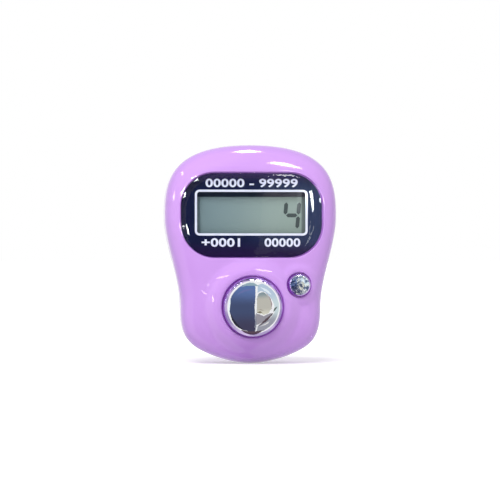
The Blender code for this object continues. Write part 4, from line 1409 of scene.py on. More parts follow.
@dataclass
class Housing(SubAssembly):
    """The two glossy covers, with the window's pocket, the button bores and the strap's saddle.

    Args:
        body: outline and face of the housing.
        window: outline of the window.
        buttons: the buttons that stand in the front cover.
        parting: half the groove between the covers.
        parting_edge: radius of the covers' edges at the groove.
        lip: insets of the covers' flat lips inside the groove.
        pocket_fillet: radius of the window pocket's rounded edge.
        seat_width: width of the window's seat.
        shoulder_stop: how far round the shoulder the even rings go, in degrees.
        net: spacing of the points on the face.
        rear_depth: depth of the flat back.
        rear_side: depth where the rounded edge to the back starts.
        rear_run: how far in the back is flat.
        rear_net: spacing of the points on the back.
        pocket_radius: radius of the screw pockets.
        pocket_rim: radius of their rounded edges.
        shank_radius: radius of the holes in their floors.
        saddle_size: width and height of the strap's saddle.
        saddle_corner: radius of its corners.
        saddle_rear: depth of its rear.
        saddle_edge: radius of its rounded edge.
        saddle_fillet: radius of the hollow where it meets the back.
        saddle_root: how far its foot and the hollow reach into the back.
        tunnel: height and depth of the strap's tunnel.
        tunnel_corner: radius of its corners.
        tunnel_rim: width of the soft edges at its ends.
    """

    body: BodyShape = BODY
    window: WindowShape = WINDOW
    buttons: tuple[ButtonShape, ...] = (COUNT_BUTTON, RESET_BUTTON)
    parting: float = 0.1
    parting_edge: float = 0.12
    lip: Pair = (0.7, 0.192)
    pocket_fillet: float = 0.2
    seat_width: float = 1.2
    shoulder_stop: float = 46.0
    net: float = 0.32
    rear_depth: float = 4.6
    rear_side: float = 1.6
    rear_run: float = 2.4
    rear_net: float = 0.45
    pocket_radius: float = 1.5
    pocket_rim: float = 0.18
    shank_radius: float = 0.9
    saddle_size: Pair = (16.0, 11.2)
    saddle_corner: float = 2.0
    saddle_rear: float = 7.6
    saddle_edge: float = 0.5
    saddle_fillet: float = 0.3
    saddle_root: Pair = (0.4, 0.02)
    tunnel: Pair = (8.4, 1.6)
    tunnel_corner: float = 0.25
    tunnel_rim: float = 0.12

    def edge_rings(self, sign: float) -> list[Points]:
        """Rings over the rounded edge where the covers meet.

        Args:
            sign: 1 for the front cover, -1 for the rear one.

        Returns:
            Rings of x, y and z from inside to the side.
        """
        rings = [(inset, 0.0) for inset in self.lip] + rounding(self.parting_edge, 3)
        return [raised(self.body.outline(inset), sign * (self.parting + rise)) for inset, rise in rings]

    def front(self) -> Object:
        """The front cover: sides, shoulder, face with mounds, and the walls of its openings.

        Returns:
            The new object.
        """
        surface = Surface()
        flat = self.body.outline()
        rings = self.edge_rings(1.0)
        levels = np.linspace(self.parting + self.parting_edge, self.body.side, 7)[1:-1]
        rings += [raised(flat, z) for z in levels]
        centre = np.array((0.0, self.body.middle))
        stop = math.radians(self.shoulder_stop)
        for i in range(13):
            share = math.cos(stop * i / 12) ** (2 / self.body.power)
            points = centre + (flat - centre) * share
            rings.append(raised(points, self.body.face(points)))
        sides = surface.bands(rings)
        window, seat = self.window, self.window.seat
        holes = [self.sink(surface, window.pocket, self.pocket_fillet, seat)]
        surface.bands([raised(window.pocket(0.0), seat), raised(window.outline(-self.seat_width), seat)])
        holes += [self.sink(surface, b.bore, b.fillet, b.collar_low) for b in self.buttons]
        surface.patch(sides[-1], holes, self.net, self.body.face)
        # the walls of the openings take the second finish, the lilac with painted glow
        return surface.build("front_cover_skin", [LILAC, PAINTED_GLOW_LILAC], outward=1.0)

    def sink(
        self, surface: Surface, outline: Callable[[float], Points], fillet: float, floor: float
    ) -> list[int]:
        """A wall that goes down from the face with a rounded edge.

        Args:
            surface: the cover that gets it.
            outline: gives the wall's outline, made larger by a distance.
            fillet: radius of the rounded edge.
            floor: height where the wall ends.

        Returns:
            Numbers of the points of the ring that lies in the face.
        """
        rings = []
        for grow, drop in rounding(fillet, 5):
            points = outline(grow)
            rings.append(raised(points, self.body.face(points) - drop))
        made = surface.bands(rings)
        # the wall takes the second finish, the lilac with painted glow
        surface.band(made[-1], surface.ring(raised(outline(0.0), floor)), 1)
        return made[0]

    def rear(self) -> Object:
        """The rear cover: sides, rounded edge and flat back with its screw pockets.

        Returns:
            The new object.
        """
        surface = Surface()
        rings = [*self.edge_rings(-1.0), raised(self.body.outline(), -self.rear_side * 0.6)]
        for a in quarter(12)[:10]:
            z = -self.rear_side - (self.rear_depth - self.rear_side) * math.sin(a)
            rings.append(raised(self.body.outline(self.rear_run * (1 - math.cos(a))), z))
        sides = surface.bands(rings)
        holes = [self.screw_pocket(surface, place) for place in SCREW_PLACES]
        surface.patch(sides[-1], holes, self.rear_net, self.back)
        return surface.build("rear_cover_skin", [LILAC], outward=-1.0)

    def back(self, points: Points) -> Points:
        """Height of the rear cover's outside at rows of x and y."""
        rest = 1 - np.clip(self.body.inset(points) / self.rear_run, 0, 1)
        return -self.rear_side - (self.rear_depth - self.rear_side) * np.sqrt(1 - rest**2)

    def screw_pocket(self, surface: Surface, place: Pair) -> list[int]:
        """A round pocket for a screw head, with a soft rim and a flat floor.

        Args:
            surface: the cover that gets it.
            place: its middle.

        Returns:
            Numbers of the points of the ring that lies in the back.
        """
        rings = []
        for grow, drop in rounding(self.pocket_rim, 4):
            points = circle(place, self.pocket_radius + grow, 40)
            rings.append(raised(points, self.back(points) + drop))
        for radius in (self.pocket_radius, self.shank_radius):
            rings.append(raised(circle(place, radius, 40), -SCREW_SEAT))
        return surface.bands(rings)[0]

    def saddle(self) -> Object:
        """The raised block on the back that the strap runs through.

        Returns:
            The new object.
        """
        rear = -self.rear_depth
        foot, hollow = self.saddle_root
        steps = [(0.0, rear + foot), (self.saddle_fillet, rear + hollow)]
        steps += [(grow, rear - drop) for grow, drop in rounding(self.saddle_fillet, 5)[1:]]
        steps += [(-drop, grow - self.saddle_rear) for grow, drop in rounding(self.saddle_edge, 6)]
        rings = []
        for grow, z in steps:
            size = [length + 2 * grow for length in self.saddle_size]
            corner = self.saddle_corner + grow
            rings.append(raised(rounded_rectangle(size, corner, (0.0, STRAP_LEVEL), 10, (10, 6)), z))
        surface = Surface()
        surface.block(rings)
        block = surface.build("strap_saddle", [LILAC])
        carve(block, [self.tunnel_tool()])
        edge = block.modifiers.new("soft_rims", "BEVEL")
        edge.width = self.tunnel_rim * 0.001
        edge.segments = 2
        edge.limit_method = "ANGLE"
        edge.angle_limit = math.radians(60)
        settle(block)
        return block

    def tunnel_tool(self) -> Object:
        """A closed bar in the shape of the strap's tunnel.

        Returns:
            The new object.
        """
        half = self.saddle_size[0] / 2 + 1.0
        section = rounded_rectangle(self.tunnel, self.tunnel_corner, (STRAP_LEVEL, -STRAP_DEPTH), 4)
        surface = Surface()
        surface.block([[(x, y, z) for y, z in section] for x in (-half, half)])
        return surface.build("tunnel_tool", [LILAC])

    def build(self) -> None:
        """Make the covers and put them on the housing."""
        self.mount(self.front(), Body.HOUSING, "lilac_plastic", ["front_cover"])
        self.mount(self.rear(), Body.HOUSING, "lilac_plastic", ["rear_cover"])
        self.mount(self.saddle(), Body.HOUSING, "lilac_plastic")


@dataclass(frozen=True)
class Mark:
    """A plain number printed behind the window.

    Args:
        name: the piece's name.
        text: what it says.
        middle: its middle.
        size: its width and height in mm.
    """

    name: str
    text: str
    middle: Pair
    size: Pair


@dataclass
class Window(SubAssembly):
    """The clear window, the dark print behind it, its white frame line and its plain numbers.

    Args:
        shape: the window's outline and outside.
        rear: height of its underside.
        print_rear: height of the print's underside.
        print_front: height of the print's outside.
        view_middle: middle of the clear opening.
        frame_size: width and height of the white frame, over its line.
        frame_line: width of that line.
        frame_corner: outer radius of its corners.
        film_gap: space round the film and its opening.
        film_net: spacing of the points on it.
        ink: thickness of the white print.
        bold: how much the numbers' strokes are widened, in heights of their line.
        spread: space between the numbers' figures, where 1 is plain.
        border: how far in the rings of the rounded border go.
        border_steps: how many there are.
        net: spacing of the points inside them.
        marks: the numbers printed round the display.
    """

    shape: WindowShape = WINDOW
    rear: float = 5.88
    print_rear: float = 5.73
    print_front: float = 5.85
    view_middle: Pair = (-0.05, 23.59)
    frame_size: Pair = (17.6, 7.14)
    frame_line: float = 0.35
    frame_corner: float = 0.75
    film_gap: float = 0.02
    film_net: float = 1.5
    ink: float = 0.015
    bold: float = 0.028
    spread: float = 1.04
    border: float = 4.6
    border_steps: int = 28
    net: float = 0.5
    marks: tuple[Mark, ...] = (
        Mark("range_mark", "00000 - 99999", (0.0, 28.2), (14.4, 1.36)),
        Mark("count_mark", "+0001", (-4.8, 18.95), (6.0, 1.36)),
        Mark("reset_mark", "00000", (4.8, 18.95), (5.6, 1.36)),
    )

    def lens(self) -> Object:
        """The clear window with its rounded border.

        Returns:
            The new object.
        """
        surface = Surface()
        under = surface.ring(raised(self.shape.outline(), self.rear))
        rings = []
        for i in range(self.border_steps + 1):
            points = self.shape.outline(-self.border * (i / self.border_steps) ** 1.6)
            rings.append(raised(points, self.shape.top(points)))
        made = surface.bands(rings)
        surface.band(under, made[0], 1)
        surface.face(under, 1)
        surface.patch(made[-1], [], self.net, self.shape.top)
        finishes = [INTERNAL["clear_plastic"], ClearGloss("clear_sides", gloss=False)]
        return surface.build("window_lens", finishes, 60)

    def opening(self, grow: float) -> Points:
        """Outline of the clear opening in the print, made larger by grow."""
        size = [v - 2 * self.frame_line + 2 * grow for v in self.frame_size]
        return rounded_rectangle(size, self.frame_corner - self.frame_line + grow, self.view_middle, 6)

    def film(self) -> Object:
        """The dark printed film with its clear opening.

        Returns:
            The new object.
        """
        surface = Surface()
        levels = (self.print_rear, self.print_front)
        outlines = (self.shape.outline(-self.film_gap), self.opening(self.film_gap))
        outer, inner = [surface.bands([raised(line, z) for z in levels]) for line in outlines]
        for side, z in enumerate(levels):
            surface.patch(outer[side], [inner[side]], self.film_net, lambda p, z=z: z)
        return surface.build("window_print_film", [PRINT_DARK_PAINTED_REFLECTIONS])

    def frame(self) -> Object:
        """The white line printed round the display.

        Returns:
            The new object.
        """
        surface = Surface()
        low, high = self.print_front, self.print_front + self.ink
        rings = ((self.frame_line, low), (self.frame_line, high), (0.0, high), (0.0, low))
        made = surface.bands([raised(self.opening(grow), z) for grow, z in rings])
        surface.band(made[-1], made[0])
        return surface.build("display_frame_line", [PRINT_WHITE])

    def mark(self, mark: Mark) -> Object:
        """One printed number.

        Args:
            mark: its text, place and size.

        Returns:
            The new object.
        """
        curve = bpy.data.curves.new(mark.name, "FONT")
        curve.body = mark.text
        curve.offset = self.bold
        curve.space_character = self.spread
        curve.resolution_u = 4
        drawn = show(mark.name + "_drawn", curve)
        mesh = evaluated(drawn)
        bpy.data.objects.remove(drawn)
        flat = np.array([v.co[:2] for v in mesh.vertices])
        low, high = flat.min(axis=0), flat.max(axis=0)
        flat = (flat - (low + high) / 2) * (mark.size / (high - low)) + mark.middle
        surface = Surface()
        numbers = surface.ring(raised(flat, self.print_front + self.ink))
        for polygon in mesh.polygons:
            surface.face([numbers[i] for i in polygon.vertices])
        bpy.data.meshes.remove(mesh)
        return surface.build(mark.name, [PRINT_WHITE], outward=1.0)

    def build(self) -> None:
        """Make the window and put it on the housing."""
        self.mount(self.lens(), Body.HOUSING, "clear_plastic", ["display_lens"])
        self.mount(self.film(), Body.HOUSING, "black_print", ["printed_film"])
        self.mount(self.frame(), Body.HOUSING, "black_print")
        for mark in self.marks:
            self.mount(self.mark(mark), Body.HOUSING, "black_print")


class Segment(Enum):
    """The bars of a digit that are lit: the middle of each, in half widths and heights, and its turn."""

    UPPER_LEFT = (-1.0, 0.5, True)
    UPPER_RIGHT = (1.0, 0.5, True)
    MIDDLE = (0.0, 0.0, False)
    LOWER_RIGHT = (1.0, -0.5, True)


@dataclass
class Display(SubAssembly):
    """The digit that the display shows; its dark bars are drawn thicker and taller than the segments, so
    they are partly the segments and partly their painted shadow on the reflector.

    Args:
        middle: the digit's middle.
        half: half its width and half its height, to the bars' middle lines.
        bar: thickness of a bar.
        gap: space between bars.
        slant: lean of the digit in degrees.
        level: height of the display's face.
        ink: how far the bars stand out.
    """

    middle: Pair = (6.36, 23.19)
    # the bars' size takes in the segments' painted shadow on the reflector behind them
    half: Pair = (1.02, 2.16)
    bar: float = 0.60
    gap: float = 0.12
    slant: float = 5.0
    level: float = 4.685
    ink: float = 0.006

    def outline(self, segment: Segment) -> Points:
        """Outline of one bar, with pointed ends.

        Args:
            segment: the bar.

        Returns:
            Rows of x and y.
        """
        u, v, upright = segment.value
        half = (self.half[1] if upright else 2 * self.half[0]) / 2 - self.gap
        thick = self.bar / 2
        long = [(-half, 0), (thick - half, -thick), (half - thick, -thick), (half, 0)]
        long += [(half - thick, thick), (thick - half, thick)]
        points = np.array([(b, a) for a, b in long] if upright else long, float)
        points += (u * self.half[0], v * self.half[1])
        points[:, 0] += points[:, 1] * math.tan(math.radians(self.slant))
        return points + self.middle

    def digit(self) -> Object:
        """The digit as thin dark bars on the display's face.

        Returns:
            The new object.
        """
        surface = Surface()
        for segment in Segment:
            made = surface.bands([raised(self.outline(segment), self.level + t) for t in (0.0, self.ink)])
            surface.face(made[1])
        return surface.build("display_digit", [SEGMENTS], outward=1.0)

    def build(self) -> None:
        """Make the digit and put it on the housing."""
        self.mount(self.digit(), Body.HOUSING, "display_film")


@dataclass
class PushButton(SubAssembly):
    """A plated push button.

    Args:
        name: the new piece's name.
        node: the plain node that it stands for.
        moves: the body that it rides on.
        shape: its sizes.
        finish: its plating.
        steps: steps round it.
    """

    name: str
    node: str
    moves: Body
    shape: ButtonShape
    finish: PlatedMetal = CHROME
    steps: int = 96

    def build(self) -> None:
        """Make the button and put it on its own body."""
        shape, surface = self.shape, Surface()
        changes = (shape.cap_steps, shape.cap_steps + shape.edge_steps)
        surface.turned(shape.profile(), shape.mound.middle, self.steps, changes)
        # the rounded edge and the side take plating with painted lilac reflections
        made = surface.build(self.name, [self.finish, RIM_PAINTED_REFLECTION, SIDE_PAINTED_REFLECTION])
        self.mount(made, self.moves, "chrome", [self.node])


@dataclass
class Strap(SubAssembly):
    """The soft strap: one strip through the saddle, its tail held over a stud on the tucked end.

    Args:
        width: width of the strip.
        thickness: thickness of the strip.
        edge: radius of its rounded edges.
        level: height of its middle above the chin.
        depth: depth of the tunnel's middle behind the plane where the covers meet.
        radius: radius of the loop, to the middle of the strip.
        centre: depth of the loop's middle.
        bend: radius of the bends beside the saddle.
        layer: distance from the inner to the outer layer.
        tail: angle where the outer end stops, in degrees.
        tuck: angle where the inner end stops.
        step: angles between which the outer layer steps out.
        hole: radius and pitch of the holes.
        holes: numbers of the first and last hole, counted from the stud.
        flare: how far the holes' edges flare.
        tip: share of the thickness at the strip's ends, and length over which it thins to that.
        stud: radius of the stud's neck, radius and height of its head.
    """

    width: float = 8.0
    thickness: float = 1.2
    edge: float = 0.38
    level: float = STRAP_LEVEL
    depth: float = STRAP_DEPTH
    radius: float = 10.3
    centre: float = 15.8
    bend: float = 1.9
    layer: float = 1.45
    tail: float = -48.0
    tuck: float = 25.0
    step: Pair = (40.0, 85.0)
    hole: Pair = (1.1, 4.0)
    holes: tuple[int, int] = (-1, 3)
    flare: float = 0.16
    tip: Pair = (0.35, 0.5)
    stud: tuple[float, float, float] = (0.9, 1.5, 0.8)

    def loop(self, degrees: float, offset: float) -> Pair:
        """A point of the loop, its angle measured from the far side to the right."""
        a, reach = math.radians(degrees), self.radius + offset
        return reach * math.sin(a), -self.centre - reach * math.cos(a)

    def offset(self, degrees: float) -> float:
        """How far the outer layer lies outside the inner one."""
        t = min(1.0, max(0.0, (self.step[1] - degrees) / (self.step[1] - self.step[0])))
        return self.layer * (1 - math.cos(math.pi * t)) / 2

    def path(self) -> Points:
        """The strip's middle line, as rows of x and z.

        Returns:
            The line from the tail through the tunnel to the tucked end.
        """
        outer = [self.loop(d, self.offset(d)) for d in np.linspace(self.tail, 90, 70)]
        bend = (self.radius - self.bend, -self.depth - self.bend)
        side = [(self.radius, z) for z in np.linspace(-self.centre, bend[1], 16)[1:-1]]
        right = arc(bend, self.bend, 0, math.pi / 2, 12)
        left = [(-x, z) for x, z in reversed(side + right)]
        floor = [(x, -self.depth) for x in np.linspace(bend[0], -bend[0], 12)[1:-1]]
        inner = [self.loop(d, 0.0) for d in np.linspace(-90, self.tuck, 60)]
        return np.array(outer + side + right + floor + left + inner)

    def strip(self) -> Object:
        """The strip with round ends and soft edges.

        Returns:
            The new object.
        """
        line = self.path()
        lengths = lengths_along(line)
        total, half = lengths[-1], self.width / 2
        ends = [half * (1 - math.cos(a)) for a in quarter(14)]
        middle = list(np.linspace(half, total - half, 200)[1:-1])
        stations = np.array(ends + middle + [total - d for d in reversed(ends)])
        xs, zs = (np.interp(stations, lengths, line[:, i]) for i in (0, 1))
        along = unit(np.column_stack((np.gradient(xs), np.gradient(zs))))
        surface, rings = Surface(), []
        for x, z, (dx, dz), station in zip(xs, zs, along, stations):
            rest = min(station, total - station)
            gone = max(0.0, half - rest)
            reach = max(self.edge * 1.1, math.sqrt(max(0.0, half**2 - gone**2)))
            thick = self.thickness * min(1.0, self.tip[0] + rest / self.tip[1])
            section = rounded_rectangle((2 * reach, thick), min(self.edge, thick / 2.05), (0, 0), 5, (8, 1))
            rings.append([(x - dz * t, self.level + a, z + dx * t) for a, t in section])
        surface.block(rings)
        strip = surface.build("finger_strap_band", [RUBBER], 50)
        carve(strip, [self.hole_tool(n) for n in range(self.holes[0], self.holes[1] + 1)], 50)
        return strip

    def spun(self, name: str, profile: Sequence[Pair], degrees: float) -> Object:
        """A turned solid whose axis passes through the loop's middle.

        Args:
            name: the object's name.
            profile: pairs of radius and distance from the loop's middle.
            degrees: where on the loop it stands.

        Returns:
            The new object.
        """
        surface = Surface()
        surface.turned(profile, (0.0, 0.0), 40)
        s, c = math.sin(math.radians(degrees)), math.cos(math.radians(degrees))
        surface.points = [
            (s * w + c * u, self.level + v, -self.centre - c * w + s * u) for u, v, w in surface.points
        ]
        return surface.build(name, [RUBBER], 40)

    def hole_tool(self, number: int) -> Object:
        """A cutter for one hole, flared where it meets the strip's faces.

        Args:
            number: which hole, counted from the stud.

        Returns:
            The new object.
        """
        radius, pitch = self.hole
        degrees = math.degrees(number * pitch / (self.radius + self.layer))
        middle, half = self.radius + self.offset(degrees), self.thickness / 2
        low, high, flare = middle - half, middle + half, self.flare
        profile = [(0.0, low - 0.1), (radius + flare + 0.1, low - 0.1), (radius, low + flare)]
        profile += [(radius, high - flare), (radius + flare + 0.3, high + 0.3), (0.0, high + 0.3)]
        return self.spun(f"strap_hole_{number}", profile, degrees)

    def button(self) -> Object:
        """The stud on the tucked end that the tail is buttoned over.

        Returns:
            The new object.
        """
        neck, head, height = self.stud
        low = self.radius + self.layer + self.thickness / 2 + 0.1
        base = self.radius + self.thickness / 2 - 0.1
        profile = [(0.0, base), (neck + 0.25, base), (neck + 0.08, base + 0.2), (neck, base + 0.45)]
        profile += [(neck, low - 0.05), (head - 0.15, low), (head - 0.03, low + 0.05), (head, low + 0.14)]
        dome, brim = height - 0.14, low + 0.14
        profile += [(head * math.cos(a), brim + dome * math.sin(a)) for a in quarter(8)[1:-1]]
        profile.append((0.0, low + height))
        return self.spun("strap_stud_head", profile, 0.0)

    def build(self) -> None:
        """Make the strap and put it on the housing."""
        self.mount(self.strip(), Body.HOUSING, "lilac_rubber", ["finger_strap"])
        self.mount(self.button(), Body.HOUSING, "lilac_rubber")


@dataclass
class CaseScrews(SubAssembly):
    """The three pan-head screws that hold the covers together.

    Args:
        places: where each one stands.
        seat: depth of the seat under its head.
        head: radius and height of the head.
        shank: radius and length of the shank.
        lift: how far the head stands off its seat.
        side: height of the head's straight side.
        tip: radius and length of the shank's tip.
        recess: width, span and depth of the cross recess.
        taper: shares of its width and span over the head and at its floor.
        turns: turn of each cross in degrees.
    """

    places: tuple[Pair, ...] = SCREW_PLACES
    seat: float = SCREW_SEAT
    head: Pair = (1.4, 0.9)
    shank: Pair = (0.8, 6.2)
    lift: float = 0.02
    side: float = 0.25
    tip: Pair = (0.25, 1.2)
    recess: tuple[float, float, float] = (0.34, 1.8, 0.5)
    taper: Pair = (1.15, 0.62)
    turns: tuple[float, ...] = (12.0, 58.0, 31.0)

    def screw(self, number: int) -> Object:
        """One screw, turned to its own angle.

        Args:
            number: which screw, from 1.

        Returns:
            The new object.
        """
        place, turn = self.places[number - 1], self.turns[number - 1]
        radius, height = self.head
        shank, length = self.shank
        rear, seat = -self.seat - height, -self.seat - self.lift
        end, dome = seat + length, height - (self.side + self.lift)
        profile = [(0.0, rear)]
        profile += [(radius * math.sin(a), seat - self.side - dome * math.cos(a)) for a in quarter(8)[1:]]
        tip, run = self.tip
        profile += [(radius, seat), (shank, seat), (shank, end - run), (tip, end), (0.0, end)]
        surface = Surface()
        surface.turned(profile, place, 48)
        made = surface.build(f"case_screw_head_{number}", [STEEL], 40)
        carve(made, [self.blade(place, turn + side, rear) for side in (0.0, 90.0)], 30)
        return made

    def blade(self, place: Pair, degrees: float, rear: float) -> Object:
        """A tapered cutter for one bar of the cross recess.

        Args:
            place: the screw's middle.
            degrees: its turn.
            rear: height of the head's rear.

        Returns:
            The new object.
        """
        width, span, depth = self.recess
        a = math.radians(degrees)
        turn = np.array(((math.cos(a), -math.sin(a)), (math.sin(a), math.cos(a))))
        surface, rings = Surface(), []
        for share, z in zip(self.taper, (rear - 0.3, rear + depth)):
            corners = np.array(((1, 1), (-1, 1), (-1, -1), (1, -1))) * (span * share / 2, width * share / 2)
            rings.append([(x + place[0], y + place[1], z) for x, y in corners @ turn.T])
        surface.block(rings)
        return surface.build(f"recess_{degrees:.0f}", [STEEL])

    def build(self) -> None:
        """Make the screws and put them on the housing."""
        for number in range(1, len(self.places) + 1):
            self.mount(self.screw(number), Body.HOUSING, "steel", [f"case_screw_{number}"])


class Internals:
    """Finishes for the nodes that stay as they are: the display cell, the board and the keys."""

    def dress(self, nodes: dict) -> None:
        """Give each plain node a finish by its material slot.

        Args:
            nodes: the plain nodes by name.
        """
        for name, node in sorted(nodes.items()):
            for index, old in enumerate(node.data.materials):
                slot = old.name.split(".")[0] if old else ""
                finish = INTERNAL.get(slot)
                if finish:
                    node.material_slots[index].link = "OBJECT"
                    node.material_slots[index].material = finish.material()
                    log.info("%s keeps its shape, finish %s", name, finish.name)
                else:
                    log.warning("%s has no finish for %s", name, slot)


# Studio


@dataclass(frozen=True)
class Lamp:
    """A soft lamp that lights the object from one side.

    Args:
        name: its name.
        azimuth: direction to it from the front, positive to the right, in degrees.
        elevation: its height over the horizon in degrees.
        distance: its distance in metres.
        size: its width and height in metres.
        radiance: brightness of its face, where 1 is white.
    """

    name: str
    azimuth: float
    elevation: float
    distance: float
    size: Pair
    radiance: float

    def build(self, target: Vector) -> None:
        """Make the lamp and turn it to its target.

        Args:
            target: the point that it lights.
        """
        data = bpy.data.lights.new(self.name, "AREA")
        data.shape = "RECTANGLE"
        data.size, data.size_y = self.size
        data.energy = self.radiance * math.pi * self.size[0] * self.size[1]
        a, e = math.radians(self.azimuth), math.radians(self.elevation)
        way = Vector((math.sin(a) * math.cos(e), -math.cos(a) * math.cos(e), math.sin(e)))
        made = show(self.name, data)
        made.location = target + way * self.distance
        made.rotation_euler = (target - made.location).to_track_quat("-Z", "Y").to_euler()
        made.visible_camera = made.visible_glossy = False


# Fineness of the cards: steps along a streak, and in mm the spacing of an outline's points and of
# the net inside it, and the step over which a slope is taken
STREAK_STEPS = 14
CARD_SPACING = 0.25
CARD_NET = 0.3
SLOPE_STEP = 0.01


class Mirror(Enum):
    """The glossy surfaces in which a card may show."""

    FACE = "face"
    WINDOW = "window"
    BUTTON = "button"

    @property
    def height(self) -> Callable[[Points], Points]:
        """Gives the height of the surface at rows of x and y."""
        return {"face": BODY.face, "window": WINDOW.top, "button": COUNT_BUTTON.top}[self.value]


@dataclass(frozen=True)
class Fade:
    """A slow change of a card's colour to another one, along an axis of the room.

    Args:
        axis: X or Z.
        start: where the change starts, in mm.
        stop: where it ends, in mm.
        colour: the colour that it ends with.
    """

    axis: str
    start: float
    stop: float
    colour: Colour


@dataclass(frozen=True)
class Glow(Look):
    """The finish of a card.

    Args:
        colour: its colour.
        light: how bright it is.
        fades: how its colour changes over it.
    """

    colour: Colour
    light: float
    fades: tuple[Fade, ...] = ()

    def shader(self, tree: ShaderTree) -> Node:
        """A plain glow.

        Args:
            tree: the material's tree.

        Returns:
            The shader.
        """
        colour: object = self.colour
        for fade in self.fades:
            share = tree.axis(fade.axis).eased(fade.start * 0.001, fade.stop * 0.001)
            colour = tree.blend(share, colour, fade.colour)
        values = {
            "Base Color": (0.0, 0.0, 0.0),
            "Specular IOR Level": 0.0,
            "Emission Color": colour,
            "Emission Strength": self.light,
        }
        return tree.add("ShaderNodeBsdfPrincipled", values=values)


def streak(start: Sequence[float], stop: Sequence[float], width: float, bow: float = 0.0) -> Points:
    """Outline of a thin mark with pointed ends.

    Args:
        start: one end.
        stop: the other end.
        width: its width in the middle.
        bow: how far its middle lies to the left of the line between its ends.

    Returns:
        Rows of x and y.
    """
    first, along = np.array(start), np.array(stop) - start
    across = np.array((-along[1], along[0])) / np.linalg.norm(along)
    t = np.linspace(0, 1, STREAK_STEPS + 1)[:, None]
    line = first + along * t + across * bow * 4 * t * (1 - t)
    half = across * width / 2 * np.sin(math.pi * t).clip(0, 1) ** 0.8
    return np.vstack((line - half, (line + half)[-2:0:-1]))


def dense(outline: Rows) -> Points:
    """A closed outline with further points along its sides.

    Args:
        outline: its corners in order.

    Returns:
        Rows of x and y.
    """
    points = []
    for start, stop in zip(outline, [*outline[1:], outline[0]]):
        count = max(1, round(math.dist(start, stop) / CARD_SPACING))
        points += [tuple(np.array(start) + (np.array(stop) - start) * i / count) for i in range(count)]
    return np.array(points)


@dataclass(frozen=True)
class Card:
    """A card that only gloss sees, cut and placed so that it shows at one place of a surface.

    Args:
        name: its name.
        mirror: the surface in which it shows.
        outline: outline of its mirror image on that surface.
        colour: its colour.
        light: its brightness.
        distance: its distance in mm.
        fades: how its colour changes over it.
    """

    name: str
    mirror: Mirror
    outline: Points
    colour: Colour = (1.0, 1.0, 1.0)
    light: float = 1.0
    distance: float = 26.0
    fades: tuple[Fade, ...] = ()

    def mirrored(self, flat: Points, eye: Points) -> Points:
        """Where the eye sees, by way of the mirror, from rows of x and y on it.

        Args:
            flat: rows of x and y.
            eye: the camera's place in the face frame.

        Returns:
            Rows of x, y and z, each at the card's distance.
        """
        height, step = self.mirror.height, SLOPE_STEP
        slopes = [(height(flat + way) - height(flat - way)) / (2 * step) for way in ((step, 0), (0, step))]
        normal = unit(raised(-np.column_stack(slopes), 1.0))
        points = raised(flat, height(flat))
        view = unit(eye - points)
        ray = 2 * (normal * view).sum(axis=1)[:, None] * normal - view
        return points + ray * self.distance

    def build(self, eye: Points) -> None:
        """Make the card.

        Args:
            eye: the camera's place in the face frame.
        """
        surface = Surface()
        surface.patch(surface.ring(raised(self.outline, 0.0)), [], CARD_NET, lambda p: 0.0)
        surface.points = self.mirrored(np.array(surface.points)[:, :2], eye).tolist()
        made = surface.build(self.name, [Glow(self.name, self.colour, self.light, self.fades)])
        made.visible_camera = made.visible_diffuse = False
        made.visible_shadow = made.visible_transmission = False
        made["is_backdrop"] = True


DARK_HALF = [
    (0.24, 3.1), (0.1, 3.4), *arc((0, 0), 3.78, 1.75, 4.66, 24), (0.18, -3.78), (0.12, -2.0), (0.06, 0.0),
    (0.13, 1.2),
]
PETAL = [
    (0.36, -0.75), (1.5, -1.15), (2.2, -0.9), (2.6, -0.3), (2.72, 0.4), (2.5, 1.1), (2.1, 1.75),
    (1.6, 2.25), (1.1, 2.35), (0.62, 2.05), (0.42, 1.4),
]
UNDER_PETAL = [
    (0.26, -0.9), (1.5, -1.3), (2.4, -0.9), (2.8, -0.95), (1.75, -2.05), (0.67, -2.6), (0.28, -2.7),
]
PALE_SIDE = [
    (0.5, 2.2), (1.05, 2.46), (1.7, 2.33), (2.3, 1.78), (2.85, 1.0), (3.2, 0.1), (3.15, -0.75),
    (2.6, -1.6), (1.8, -2.25), (0.6, -2.8), (0.45, -3.6), *arc((0, 0), 3.88, -1.4, 1.2, 20), (0.62, 3.45),
]
RIGHT_STREAK = [
    (8.78, 26.94), (9.05, 27.1), (9.29, 26.94), (9.54, 25.75), (9.59, 24.7), (9.39, 23.56), (9.18, 24.3),
    (9.06, 25.54),
]


def on_button(outline: Rows) -> Points:
    """An outline measured from the middle of the count button, with further points."""
    return dense(outline) + COUNT_BUTTON.mound.middle


